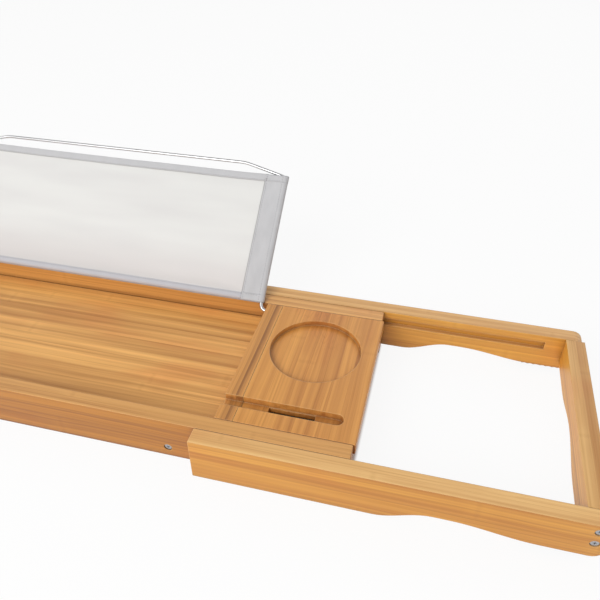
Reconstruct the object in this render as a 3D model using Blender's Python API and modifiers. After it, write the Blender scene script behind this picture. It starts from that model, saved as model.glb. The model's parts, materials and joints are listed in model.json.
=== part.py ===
"""Bath caddy: a bamboo tray with sliding U-shaped arms and a folding wire book rack.

Frame: +X to the right of someone in the bath, +Y away from them, +Z up. The origin is the middle of
the tray's underside. The tray's length lies along X, and the arms are drawn fully out.
Run with: blender --background --python part.py
"""
import math

import bmesh
import bpy
from mathutils import Matrix, Vector

# Clearances
touch_gap = 0.0003
slide_gap = 0.0004
overrun = 0.002

# Tray
tray_length = 0.700
rail_height = 0.0445
rail_thickness = 0.0146
rail_end_setback = 0.002
deck_depth = 0.165
deck_thickness = 0.012
right_panel_width = 0.123
left_panel_width = 0.165
divider_width = 0.0165
divider_rise = 0.003
floor_drop = 0.019
floor_thickness = 0.008
brace_width = 0.020
brace_inset = 0.040
deck_brace_width = 0.014
deck_brace_height = 0.014
right_brace_setback = 0.020
left_brace_setback = 0.070
edge_round = 0.0008
round_segments = 2

# Right deck: round recess and phone slot
recess_radius = 0.044
recess_depth = 0.0055
recess_from_end = 0.058
recess_from_back = 0.060
slot_width = 0.0125
slot_depth = 0.007
slot_from_front = 0.0234
slot_end_margin = 0.0145
slot_through_from_end = 0.040
slot_through_length = 0.042
slot_through_margin = 0.001

# Left deck: wine-glass slot and soap recess with drain slots
glass_slot_width = 0.012
glass_slot_length = 0.062
glass_slot_from_front = 0.040
soap_length = 0.100
soap_width = 0.062
soap_depth = 0.0045
soap_corner = 0.012
soap_from_divider = 0.024
soap_from_back = 0.044
drain_count = 3
drain_width = 0.006
drain_length = 0.046
drain_pitch = 0.026

# Arms: two bars and an end bar, sliding along the rails
bar_thickness = 0.015
bar_height = 0.044
bar_overlap = 0.135
arm_reach = 0.195
arm_travel = 0.170
end_bar_thickness = 0.018
end_bar_height = 0.030
end_bar_grip_rise = 0.008
end_bar_grip_length = 0.110
shoulder_from_deck = 0.020
arch_start_from_deck = 0.068
arch_end_from_deck = 0.080
foot_start_from_deck = 0.150
arch_height = 0.031
foot_height = 0.038
bar_end_radius = 0.010
groove_drop = 0.008
groove_height = 0.009
groove_depth = 0.0045
groove_end_wall = 0.010
wave_steps = 10
arc_steps = 5

# Guide pins that run in the grooves
pin_setback = 0.013
pin_seat_depth = 0.009
pin_end_gap = 0.0006
pin_sides = 20
slot_end_sides = 40
recess_sides = 60

# Grip pads under the arms' feet
pad_length = 0.036
pad_width = 0.011
pad_thickness = 0.003
pad_pocket_depth = 0.001
pad_from_end = 0.006

# Countersunk screws
screw_head_radius = 0.0035
screw_head_height = 0.0026
screw_rim_height = 0.0006
screw_shank_radius = 0.0018
screw_length = 0.030
screw_point_length = 0.003
screw_sink = 0.0008
screw_sides = 12
tray_screw_height = 0.011
bar_screw_spread = 0.014
screw_bore_spare = 0.002
sharp_rod_deg = 30.0
sharp_wire_deg = 50.0

# Book rack: bent wire under a cloth sleeve with a clear window
rack_lean_deg = 49.0
hinge_forward = 0.008
hinge_drop = 0.004
wire_radius = 0.00175
lower_bar_radius = 0.0015
pin_reach = 0.008
pin_bore_spare = 0.0006
leg_shoulder = 0.0082
leg_corner_share = 0.4
corner_bend_steps = 4
corner_bend_length = 0.006
cover_side_gap = 0.0042
cover_start = 0.0076
cover_height = 0.1426
hem_back_rise = 0.002
cloth_thickness = 0.0006
side_binding = 0.025
top_binding = 0.0077
bottom_binding = 0.0074
crown_rise = 0.0113
crown_angle_deg = 14.0
crown_drop = 0.0009
wire_resolution = 2

# Places that follow from the sizes above
half_length = tray_length / 2
rail_inner_y = deck_depth / 2
rail_outer_y = rail_inner_y + rail_thickness
bar_inner_y = rail_outer_y + slide_gap
bar_outer_y = bar_inner_y + bar_thickness
half_deck = rail_inner_y - touch_gap
top_z = rail_height
deck_under_z = top_z - deck_thickness
floor_top_z = top_z - floor_drop
floor_under_z = floor_top_z - floor_thickness
right_divider_x = half_length - right_panel_width
left_divider_x = left_panel_width - half_length
groove_top_z = top_z - groove_drop
groove_mid_z = groove_top_z - groove_height / 2
pin_radius = groove_height / 2 - touch_gap
inner_pin_from_end = bar_overlap - groove_end_wall - pin_radius - touch_gap
outer_pin_from_end = rail_end_setback + pin_setback
bar_length = bar_overlap + arm_reach
lean = math.radians(rack_lean_deg)
hinge_y = rail_inner_y - hinge_forward
hinge_z = top_z - hinge_drop
rack_middle_x = (right_divider_x + left_divider_x) / 2
rack_half_span = (right_divider_x - left_divider_x) / 2
cover_half_width = rack_half_span - cover_side_gap
cover_half_thickness = cloth_thickness + touch_gap + wire_radius
side_wire_x = cover_half_width - cloth_thickness - touch_gap - wire_radius
cover_end = cover_start + cover_height

# Colours (linear), roughness and metallic value
bamboo = ("bamboo", (0.66, 0.34, 0.12, 1.0), 0.45, 0.0)
bamboo_dark = ("bamboo_dark", (0.52, 0.25, 0.09, 1.0), 0.5, 0.0)
chrome = ("chrome", (0.80, 0.80, 0.82, 1.0), 0.12, 1.0)
steel = ("steel", (0.55, 0.55, 0.56, 1.0), 0.35, 1.0)
rubber = ("rubber", (0.06, 0.06, 0.06, 1.0), 0.8, 0.0)
cover_cloth = ("cover_cloth", (0.56, 0.56, 0.58, 1.0), 0.7, 0.0)
window_film = ("window_film", (0.86, 0.86, 0.84, 1.0), 0.3, 0.0)


def clear_scene():
    for item in list(bpy.data.objects):
        bpy.data.objects.remove(item, do_unlink=True)


def new_collection(name):
    collection = bpy.data.collections.new(name)
    bpy.context.scene.collection.children.link(collection)
    return collection


clear_scene()
parts = new_collection("bath_caddy")
cutters = new_collection("cutters")


def material(look):
    """Return the Principled material of a (name, colour, roughness, metallic) row."""
    name, colour, roughness, metallic = look
    if name in bpy.data.materials:
        return bpy.data.materials[name]
    made = bpy.data.materials.new(name)
    made.use_nodes = True
    shader = made.node_tree.nodes["Principled BSDF"]
    shader.inputs["Base Color"].default_value = colour
    shader.inputs["Roughness"].default_value = roughness
    shader.inputs["Metallic"].default_value = metallic
    made.diffuse_color = colour
    return made


def place(name, mesh, look, collection=parts, parent=None):
    """Put a mesh in the scene under a name, with its material and parent."""
    item = bpy.data.objects.new(name, mesh)
    collection.objects.link(item)
    item.parent = parent
    if look is None:
        item.hide_render = True
        item.display_type = "WIRE"
    else:
        mesh.materials.append(material(look))
    return item


def axis_empty(name, location, turn=(0, 0, 0)):
    """A joint's place: its children are modelled about it."""
    empty = bpy.data.objects.new(name, None)
    parts.objects.link(empty)
    empty.location = location
    empty.rotation_euler = turn
    return empty


def round_edges(item, width, flush_x=None):
    """Ease an item's edges, apart from those in the plane at flush_x, where it is glued flush to another."""
    bevel = item.modifiers.new("rounded edges", "BEVEL")
    bevel.width = width
    bevel.segments = round_segments
    bevel.use_clamp_overlap = True
    bevel.limit_method = "ANGLE"
    if flush_x is not None:
        mark_eased_edges(item.data, flush_x)
        bevel.limit_method = "WEIGHT"


def mark_eased_edges(mesh, flush_x):
    """Give every edge a bevel weight of 1, and those in the plane at flush_x none."""
    weights = mesh.attributes.new("bevel_weight_edge", "FLOAT", "EDGE")
    for edge in mesh.edges:
        offsets = [abs(mesh.vertices[corner].co.x - flush_x) for corner in edge.vertices]
        weights.data[edge.index].value = 1 if max(offsets) > touch_gap / 2 else 0


def cut(item, cutter, name="cut"):
    """Take the cutter's shape out of the item."""
    boolean = item.modifiers.new(name, "BOOLEAN")
    boolean.operation = "DIFFERENCE"
    boolean.object = cutter


def box_mesh(name, low, high):
    low, high = Vector(low), Vector(high)
    size = high - low
    shape = bmesh.new()
    bmesh.ops.create_cube(shape, size=1)
    bmesh.ops.scale(shape, vec=size, verts=shape.verts)
    bmesh.ops.translate(shape, vec=(low + high) / 2, verts=shape.verts)
    mesh = bpy.data.meshes.new(name)
    shape.to_mesh(mesh)
    shape.free()
    return mesh


def block(name, low, high, look, parent=None, edge=edge_round, flush_x=None):
    """A board or bar between two corners, with its edges eased."""
    item = place(name, box_mesh(name, low, high), look, parent=parent)
    if edge:
        round_edges(item, edge, flush_x)
    return item


def box_cutter(name, low, high, parent=None):
    return place(name, box_mesh(name, low, high), None, cutters, parent)


def rods_mesh(name, rods, sides):
    """One mesh of closed cylinders, each given by its two ends and its radius."""
    shape = bmesh.new()
    for start, end, radius in rods:
        start, end = Vector(start), Vector(end)
        along = end - start
        turn = along.to_track_quat("Z", "Y").to_matrix().to_4x4()
        where = Matrix.Translation((start + end) / 2) @ turn
        bmesh.ops.create_cone(shape, cap_ends=True, segments=sides, radius1=radius, radius2=radius,
                              depth=along.length, matrix=where)
    mesh = bpy.data.meshes.new(name)
    shape.to_mesh(mesh)
    shape.free()
    mesh.shade_smooth()
    mesh.set_sharp_from_angle(angle=math.radians(sharp_rod_deg))
    return mesh


def rods_cutter(name, rods, sides, parent=None):
    return place(name, rods_mesh(name, rods, sides), None, cutters, parent)


def to_mesh(curve_item, name):
    """Turn a curve object into a mesh object with welded caps, in the same place."""
    bpy.context.view_layer.update()
    evaluated = curve_item.evaluated_get(bpy.context.evaluated_depsgraph_get())
    mesh = bpy.data.meshes.new_from_object(evaluated)
    mesh.name = name
    shape = bmesh.new()
    shape.from_mesh(mesh)
    bmesh.ops.remove_doubles(shape, verts=shape.verts, dist=0.00001)
    bmesh.ops.recalc_face_normals(shape, faces=shape.faces)
    shape.to_mesh(mesh)
    shape.free()
    where = curve_item.matrix_world.copy()
    bpy.data.objects.remove(curve_item, do_unlink=True)
    return mesh, where


def outline_mesh(name, outline, thickness, turn):
    """A flat outline given half its thickness to each side, turned into place."""
    curve = bpy.data.curves.new(name, "CURVE")
    curve.dimensions = "2D"
    curve.fill_mode = "BOTH"
    curve.extrude = thickness / 2
    spline = curve.splines.new("POLY")
    spline.points.add(len(outline) - 1)
    for point, (across, up) in zip(spline.points, outline):
        point.co = (across, up, 0, 1)
    spline.use_cyclic_u = True
    item = bpy.data.objects.new(name + "_outline", curve)
    parts.objects.link(item)
    mesh, _ = to_mesh(item, name)
    mesh.transform(turn)
    return mesh


def wire_mesh(name, points, radius):
    """A round wire along the points, with flat closed ends."""
    curve = bpy.data.curves.new(name, "CURVE")
    curve.dimensions = "3D"
    curve.bevel_depth = radius
    curve.bevel_resolution = wire_resolution
    curve.use_fill_caps = True
    spline = curve.splines.new("POLY")
    spline.points.add(len(points) - 1)
    for point, place_of in zip(spline.points, points):
        point.co = (*place_of, 1)
    item = bpy.data.objects.new(name + "_curve", curve)
    parts.objects.link(item)
    mesh, _ = to_mesh(item, name)
    mesh.shade_smooth()
    mesh.set_sharp_from_angle(angle=math.radians(sharp_wire_deg))
    return mesh


def bend(before, corner, after, length, steps=corner_bend_steps):
    """Points that round off a corner of a wire, starting and ending `length` away from it."""
    before, corner, after = Vector(before), Vector(corner), Vector(after)
    start = corner + (before - corner).normalized() * length
    end = corner + (after - corner).normalized() * length
    points = []
    for step in range(steps + 1):
        share = step / steps
        first = start.lerp(corner, share)
        second = corner.lerp(end, share)
        points.append(tuple(first.lerp(second, share)))
    return points


def screw_mesh(name):
    """Countersunk screw that points down -Z from its head's flat top at the origin."""
    profile = [
        (0, 0),
        (screw_head_radius, 0),
        (screw_head_radius, -screw_rim_height),
        (screw_shank_radius, -screw_head_height),
        (screw_shank_radius, screw_point_length - screw_length),
        (0, -screw_length),
    ]
    mesh = bpy.data.meshes.new(name)
    shape = bmesh.new()
    corners = [shape.verts.new((across, 0, up)) for across, up in profile]
    for first, second in zip(corners, corners[1:]):
        shape.edges.new((first, second))
    shape.to_mesh(mesh)
    shape.free()
    return mesh


def screw(name, head, direction, parent=None):
    """A screw whose head lies at `head` and which runs along `direction`."""
    item = place(name, screw_mesh(name), steel, parent=parent)
    turned = item.modifiers.new("turned", "SCREW")
    turned.steps = screw_sides
    turned.render_steps = screw_sides
    turned.use_merge_vertices = True
    turned.merge_threshold = 0.00001
    turned.use_smooth_shade = True
    item.location = head
    item.rotation_euler = (-Vector(direction)).to_track_quat("Z", "Y").to_euler()
    return item


def screw_bores(head, direction):
    """Counterbore and shank hole, as rods, for a screw placed at `head`."""
    head, direction = Vector(head), Vector(direction)
    seat = head + direction * (screw_head_height + touch_gap)
    outside = head - direction * overrun
    end = head + direction * (screw_length + screw_bore_spare)
    wide = (outside, seat, screw_head_radius + touch_gap)
    narrow = (outside, end, screw_shank_radius + touch_gap)
    return wide, narrow


def tray_screw_places():
    """Name and X of each screw that a rail sends into a divider or a brace."""
    right_brace, left_brace = deck_brace_places()["outer"]
    places = {
        "right_divider": right_divider_x + divider_width / 2,
        "left_divider": left_divider_x - divider_width / 2,
        "right_deck_brace": right_brace + deck_brace_width / 2,
        "left_deck_brace": left_brace + deck_brace_width / 2,
    }
    for label, middle in floor_brace_places().items():
        places[label + "_floor_brace"] = middle
    return places


def floor_brace_places():
    """X of the middle of each cross brace under the sunken floor."""
    return {
        "right": right_divider_x - brace_inset,
        "centre": 0,
        "left": left_divider_x + brace_inset,
    }


def deck_brace_places():
    """Low X of the braces under the right and left deck boards."""
    right_cleat = right_divider_x + divider_width + touch_gap
    left_cleat = left_divider_x - divider_width - touch_gap - deck_brace_width
    right_outer = half_length - right_brace_setback - deck_brace_width
    left_outer = left_brace_setback - half_length
    return {"inner": (right_cleat, left_cleat), "outer": (right_outer, left_outer)}


def guide_pin_places():
    """Name and X of each guide pin along one rail."""
    return {
        "right_outer": half_length - outer_pin_from_end,
        "right_inner": half_length - inner_pin_from_end,
        "left_inner": inner_pin_from_end - half_length,
        "left_outer": outer_pin_from_end - half_length,
    }


def screw_head(x, side):
    return Vector((x, side * (rail_outer_y - screw_sink), tray_screw_height))


def make_rail(name, side):
    """A long rail; side is +1 at the back and -1 at the front."""
    reach = half_length - rail_end_setback
    near, far = sorted((side * rail_inner_y, side * rail_outer_y))
    rail = block(name, (-reach, near, 0), (reach, far, rail_height), bamboo)
    wide, narrow = [], []
    for label, x in tray_screw_places().items():
        head = screw_head(x, side)
        inward = Vector((0, -side, 0))
        counterbore, hole = screw_bores(head, inward)
        wide.append(counterbore)
        narrow.append(hole)
        screw(name + "_screw_" + label, head, inward)
    seats = []
    for label, x in guide_pin_places().items():
        mouth = Vector((x, side * (rail_outer_y + overrun), groove_mid_z))
        bottom = Vector((x, side * (rail_outer_y - pin_seat_depth), groove_mid_z))
        seats.append((mouth, bottom, pin_radius + touch_gap))
        make_guide_pin(name + "_guide_pin_" + label, x, side)
    cut(rail, rods_cutter(name + "_counterbores", wide + seats, pin_sides), "counterbores and pin seats")
    cut(rail, rods_cutter(name + "_screw_holes", narrow, screw_sides), "screw holes")
    return rail


def make_guide_pin(name, x, side):
    start = Vector((x, side * (rail_outer_y - pin_seat_depth + touch_gap), groove_mid_z))
    end = Vector((x, side * (bar_inner_y + groove_depth - pin_end_gap), groove_mid_z))
    return place(name, rods_mesh(name, [(start, end, pin_radius)], pin_sides), steel)


def cross_member_bores(name, x):
    """Cutter for the screw holes in both ends of a cross member."""
    holes = []
    for side in (-1, 1):
        _, hole = screw_bores(screw_head(x, side), (0, -side, 0))
        holes.append(hole)
    return rods_cutter(name + "_end_holes", holes, screw_sides)


def make_divider(name, inner_x, side):
    """A batten between the sunken floor and a panel; side is +1 at the right."""
    outer_x = inner_x + side * divider_width
    near, far = sorted((inner_x, outer_x))
    divider = block(name, (near, -half_deck, divider_rise), (far, half_deck, top_z), bamboo_dark,
                    flush_x=outer_x)
    cut(divider, cross_member_bores(name, (near + far) / 2), "end holes")
    bore_start = (inner_x - side * overrun, hinge_y, hinge_z)
    bore_end = (inner_x + side * (pin_reach + pin_bore_spare), hinge_y, hinge_z)
    bore = rods_cutter(name + "_hinge_bore", [(bore_start, bore_end, wire_radius + touch_gap)], pin_sides)
    cut(divider, bore, "hinge bore")
    return divider


def make_floor():
    low = (left_divider_x + touch_gap, -half_deck, floor_under_z)
    high = (right_divider_x - touch_gap, half_deck, floor_top_z)
    return block("floor_board", low, high, bamboo)


def make_floor_braces():
    for label, middle in floor_brace_places().items():
        name = label + "_floor_brace"
        low = (middle - brace_width / 2, -half_deck, 0)
        high = (middle + brace_width / 2, half_deck, floor_under_z - touch_gap)
        brace = block(name, low, high, bamboo)
        cut(brace, cross_member_bores(name, middle), "end holes")


def make_deck_braces():
    high_z = deck_under_z - touch_gap
    low_z = high_z - deck_brace_height
    names = {
        "inner": ("right_deck_cleat", "left_deck_cleat"),
        "outer": ("right_deck_brace", "left_deck_brace"),
    }
    for row, places in deck_brace_places().items():
        for name, low_x in zip(names[row], places):
            high_x = low_x + deck_brace_width
            low_here = 0 if row == "outer" else low_z
            brace = block(name, (low_x, -half_deck, low_here), (high_x, half_deck, high_z), bamboo)
            if row == "outer":
                cut(brace, cross_member_bores(name, (low_x + high_x) / 2), "end holes")


def make_slot_cutters():
    """The phone slot: a shallow channel with a round end, and its part that goes right through."""
    slot_y = -rail_inner_y + slot_from_front
    end_x = half_length - slot_end_margin - slot_width / 2
    start_x = right_divider_x - overrun
    bottom_z = top_z - slot_depth
    high_z = top_z + overrun
    channel = box_cutter("slot_channel", (start_x, slot_y - slot_width / 2, bottom_z),
                         (end_x, slot_y + slot_width / 2, high_z))
    round_end = rods_cutter("slot_round_end", [((end_x, slot_y, bottom_z), (end_x, slot_y, high_z),
                                               slot_width / 2)], slot_end_sides)
    through_high = half_length - slot_through_from_end
    through_low = through_high - slot_through_length
    half_through = slot_width / 2 - slot_through_margin
    through = box_cutter("slot_through", (through_low, slot_y - half_through, deck_under_z - overrun),
                         (through_high, slot_y + half_through, high_z))
    return channel, round_end, through


def recess_place():
    return half_length - recess_from_end, rail_inner_y - recess_from_back


def make_right_deck(slot_cutters):
    """The board with the round recess and the phone slot."""
    low_x = right_divider_x + divider_width + touch_gap
    deck = block("right_deck", (low_x, -half_deck, deck_under_z), (half_length, half_deck, top_z), bamboo,
                 flush_x=low_x)
    recess_x, recess_y = recess_place()
    rod = ((recess_x, recess_y, top_z - recess_depth), (recess_x, recess_y, top_z + overrun), recess_radius)
    cut(deck, rods_cutter("recess", [rod], recess_sides), "round recess")
    for cutter in slot_cutters:
        cut(deck, cutter, cutter.name)
    return deck


def make_left_deck():
    """The board with the wine-glass slot and the soap recess."""
    high_x = left_divider_x - divider_width - touch_gap
    deck = block("left_deck", (-half_length, -half_deck, deck_under_z), (high_x, half_deck, top_z), bamboo,
                 flush_x=high_x)
    slot_y = -rail_inner_y + glass_slot_from_front
    end_x = -half_length + glass_slot_length - glass_slot_width / 2
    low_z, high_z = deck_under_z - overrun, top_z + overrun
    cut(deck, box_cutter("glass_slot", (-half_length - overrun, slot_y - glass_slot_width / 2, low_z),
                         (end_x, slot_y + glass_slot_width / 2, high_z)), "glass slot")
    rod = ((end_x, slot_y, low_z), (end_x, slot_y, high_z), glass_slot_width / 2)
    cut(deck, rods_cutter("glass_slot_end", [rod], pin_sides), "glass slot's end")
    soap_high_x = left_divider_x - soap_from_divider
    soap_low_x = soap_high_x - soap_length
    soap_y = rail_inner_y - soap_from_back
    outline = rounded_outline(soap_length, soap_width, soap_corner)
    where = Matrix.Translation(((soap_low_x + soap_high_x) / 2, soap_y, top_z))
    soap = place("soap_recess", outline_mesh("soap_recess", outline, 2 * soap_depth, where), None, cutters)
    cut(deck, soap, "soap recess")
    for index in range(drain_count):
        middle_x = (soap_low_x + soap_high_x) / 2 + (index - (drain_count - 1) / 2) * drain_pitch
        low = (middle_x - drain_width / 2, soap_y - drain_length / 2, low_z)
        high = (middle_x + drain_width / 2, soap_y + drain_length / 2, high_z)
        cut(deck, box_cutter("drain_" + str(index + 1), low, high), "drain slot")
    return deck


def rounded_outline(length, width, radius):
    """Corner points of a rectangle with round corners, centred on the origin."""
    points = []
    for quarter in range(4):
        sign_x = 1 if quarter in (0, 3) else -1
        sign_y = 1 if quarter in (0, 1) else -1
        middle = (sign_x * (length / 2 - radius), sign_y * (width / 2 - radius))
        for step in range(arc_steps + 1):
            angle = math.radians(90) * (quarter + step / arc_steps)
            points.append((middle[0] + radius * math.cos(angle), middle[1] + radius * math.sin(angle)))
    return points


def ease(share):
    """Smooth step from 0 to 1."""
    return (1 - math.cos(math.pi * share)) / 2


def bar_outline():
    """Side view of an arm's bar: x from its inner end, z from the tray's underside."""
    under = [(0, bar_height)]
    waves = [
        (shoulder_from_deck, arch_start_from_deck, bar_height, arch_height),
        (arch_end_from_deck, foot_start_from_deck, arch_height, foot_height),
    ]
    for start, end, from_height, to_height in waves:
        for step in range(wave_steps + 1):
            share = step / wave_steps
            along = bar_overlap + start + (end - start) * share
            under.append((along, from_height + (to_height - from_height) * ease(share)))
    points = [(along, top_z - height) for along, height in under]
    for corner_z, first_angle in ((top_z - foot_height + bar_end_radius, -90), (top_z - bar_end_radius, 0)):
        for step in range(arc_steps + 1):
            angle = math.radians(first_angle + 90 * step / arc_steps)
            points.append((bar_length - bar_end_radius + bar_end_radius * math.cos(angle),
                           corner_z + bar_end_radius * math.sin(angle)))
    points.append((0, top_z))
    return points


def make_bar(name, side, parent):
    """One sliding bar of an arm, with its long groove and its pad's pocket."""
    upright = Matrix.Rotation(math.radians(90), 4, "X")
    middle_y = side * (bar_inner_y + bar_outer_y) / 2
    where = Matrix.Translation((0, middle_y, 0)) @ upright
    bar = place(name, outline_mesh(name, bar_outline(), bar_thickness, where), bamboo, parent=parent)
    round_edges(bar, edge_round)
    near, far = sorted((side * (bar_inner_y - overrun), side * (bar_inner_y + groove_depth)))
    groove_end = bar_overlap - outer_pin_from_end + pin_radius + touch_gap + arm_travel
    groove = box_cutter(name + "_groove", (groove_end_wall, near, groove_top_z - groove_height),
                        (groove_end, far, groove_top_z), parent)
    cut(bar, groove, "groove")
    pad_low, pad_high = pad_span()
    pocket = box_cutter(name + "_pad_pocket",
                        (pad_low - touch_gap, middle_y - pad_width / 2 - touch_gap, 0),
                        (pad_high + touch_gap, middle_y + pad_width / 2 + touch_gap,
                         top_z - foot_height + pad_pocket_depth), parent)
    cut(bar, pocket, "pad pocket")
    bores = [screw_bores(head, (0, -side, 0)) for head in bar_screw_heads(side)]
    wide = [pair[0] for pair in bores]
    narrow = [pair[1] for pair in bores]
    cut(bar, rods_cutter(name + "_counterbores", wide, pin_sides, parent), "counterbores")
    cut(bar, rods_cutter(name + "_screw_holes", narrow, screw_sides, parent), "screw holes")
    return bar


def pad_span():
    high = bar_length - bar_end_radius - pad_from_end
    return high - pad_length, high


def bar_screw_heads(side):
    """Where the two screws through a bar into the end bar have their heads."""
    x = bar_length - end_bar_thickness / 2
    middle_z = top_z - end_bar_height / 2
    heads = []
    for up in (-1, 1):
        heads.append(Vector((x, side * (bar_outer_y - screw_sink), middle_z + up * bar_screw_spread / 2)))
    return heads


def make_pad(name, side, parent):
    """Rubber strip under an arm's foot."""
    low_x, high_x = pad_span()
    middle_y = side * (bar_inner_y + bar_outer_y) / 2
    high_z = top_z - foot_height + pad_pocket_depth - touch_gap
    return block(name, (low_x, middle_y - pad_width / 2, high_z - pad_thickness),
                 (high_x, middle_y + pad_width / 2, high_z), rubber, parent)


def end_bar_outline():
    """Front view of the end bar, with a finger arch in its underside."""
    reach = bar_inner_y - touch_gap
    low_z = top_z - end_bar_height
    points = [(-reach, low_z)]
    for step in range(2 * wave_steps + 1):
        share = step / wave_steps - 1
        rise = end_bar_grip_rise * ease(1 - abs(share))
        points.append((share * end_bar_grip_length / 2, low_z + rise))
    points += [(reach, low_z), (reach, top_z), (-reach, top_z)]
    return points


def make_end_bar(name, parent):
    """The bar across an arm's outer end, which is also its handle."""
    turn = Matrix.Rotation(math.radians(90), 4, "Z") @ Matrix.Rotation(math.radians(90), 4, "X")
    where = Matrix.Translation((bar_length - end_bar_thickness / 2, 0, 0)) @ turn
    thickness = end_bar_thickness - 2 * touch_gap
    bar = place(name, outline_mesh(name, end_bar_outline(), thickness, where), bamboo, parent=parent)
    round_edges(bar, edge_round)
    holes = []
    for side in (-1, 1):
        holes += [screw_bores(head, (0, -side, 0))[1] for head in bar_screw_heads(side)]
    cut(bar, rods_cutter(name + "_screw_holes", holes, screw_sides, parent), "screw holes")
    return bar


def make_arm(hand, inner_x, turn_deg):
    """A whole arm, modelled from its inner end outwards; the left one is the right one turned round."""
    slide = axis_empty(hand + "_arm_slide", (inner_x, 0, 0), (0, 0, math.radians(turn_deg)))
    facing = 1 if turn_deg == 0 else -1
    for label, side in (("rear", facing), ("front", -facing)):
        make_bar(hand + "_arm_" + label + "_bar", side, slide)
        make_pad(hand + "_arm_" + label + "_pad", side, slide)
        for number, head in enumerate(bar_screw_heads(side), start=1):
            screw(hand + "_arm_" + label + "_screw_" + str(number), head, (0, -side, 0), slide)
    make_end_bar(hand + "_arm_end_bar", slide)


def rack_wire_points():
    """Half of the bent wire, from its hinge pin to the middle of its crown, in the rack's plane."""
    pin_end = (rack_half_span + pin_reach, 0, 0)
    foot = (rack_half_span - leg_shoulder / 2, 0, 0)
    shoulder = (side_wire_x, cover_start * (1 - leg_corner_share / 2), 0)
    corner = (side_wire_x, cover_end - crown_drop, 0)
    crown_run = (crown_rise + crown_drop) / math.tan(math.radians(crown_angle_deg))
    crown = (side_wire_x - crown_run, cover_end + crown_rise, 0)
    middle = (0, cover_end + crown_rise, 0)
    points = [pin_end]
    points += bend(pin_end, foot, shoulder, corner_bend_length / 2)
    points += bend(foot, shoulder, corner, corner_bend_length / 4)
    points += bend(shoulder, corner, crown, corner_bend_length)
    points += bend(corner, crown, middle, corner_bend_length)
    return points


def make_rack_wire(hinge):
    right = rack_wire_points()
    left = [(-x, y, z) for x, y, z in reversed(right)]
    return place("rack_wire", wire_mesh("rack_wire", right + left, wire_radius), chrome, parent=hinge)


def make_rack_lower_bar(hinge):
    """Straight wire in the sleeve's lower hem, between the two sides of the bent wire."""
    reach = side_wire_x - wire_radius - touch_gap
    along = cover_start + cover_half_thickness
    rod = ((-reach, along, 0), (reach, along, 0), lower_bar_radius)
    return place("rack_lower_bar", rods_mesh("rack_lower_bar", [rod], pin_sides), chrome, parent=hinge)


def make_rack_cover(hinge):
    """Cloth sleeve over the wire, open above and below, with a cut-out for the window.

    The back of its lower hem starts higher than the front, so that it clears the rear rail's edge.
    """
    sleeve = block("rack_cover", (-cover_half_width, cover_start, -cover_half_thickness),
                   (cover_half_width, cover_end, cover_half_thickness), cover_cloth, hinge, edge=0)
    inside_x = cover_half_width - cloth_thickness
    inside_z = cover_half_thickness - cloth_thickness
    cut(sleeve, box_cutter("sleeve_inside", (-inside_x, cover_start - overrun, -inside_z),
                           (inside_x, cover_end + overrun, inside_z), hinge), "inside of the sleeve")
    low = (-rack_half_span, cover_start - overrun, -cover_half_thickness - overrun)
    high = (rack_half_span, cover_start + hem_back_rise, 0)
    cut(sleeve, box_cutter("hem_back", low, high, hinge), "back of the hem")
    low, high = window_span(0)
    cut(sleeve, box_cutter("window_opening", (low[0], low[1], 0),
                           (high[0], high[1], cover_half_thickness + overrun), hinge), "window")
    low, high = window_span(touch_gap)
    block("rack_window", (low[0], low[1], inside_z), (high[0], high[1], cover_half_thickness),
          window_film, hinge, edge=0)
    return sleeve


def window_span(gap):
    reach = cover_half_width - side_binding - gap
    return (-reach, cover_start + bottom_binding + gap), (reach, cover_end - top_binding - gap)


def make_rack():
    hinge = axis_empty("rack_hinge", (rack_middle_x, hinge_y, hinge_z), (math.radians(90) - lean, 0, 0))
    make_rack_wire(hinge)
    make_rack_lower_bar(hinge)
    make_rack_cover(hinge)


def make_tray():
    make_rail("rear_rail", 1)
    make_rail("front_rail", -1)
    right_divider = make_divider("right_divider", right_divider_x, 1)
    make_divider("left_divider", left_divider_x, -1)
    make_floor()
    make_floor_braces()
    make_deck_braces()
    slot_cutters = make_slot_cutters()
    cut(right_divider, slot_cutters[0], "phone slot")
    make_right_deck(slot_cutters)
    make_left_deck()


make_tray()
make_arm("right", half_length - bar_overlap, 0)
make_arm("left", bar_overlap - half_length, 180)
make_rack()
bpy.context.view_layer.update()
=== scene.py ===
# %% [markdown]
# # A bamboo bath caddy with a folding book rack
#
# The real thing is a laminated bamboo tray that lies across a bath. Two U-shaped arms slide out of its
# ends, and a bent wire rack with a cloth sleeve folds up behind the sunken middle. The solid model of
# all that already exists, so this lesson starts by loading it. Every piece of it has its own name, and
# every new piece is placed in the same metres: X to the right, Y away from the bather, Z up.

import json
import math

import bmesh
import bpy
from mathutils import Matrix, Vector, noise

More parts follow.
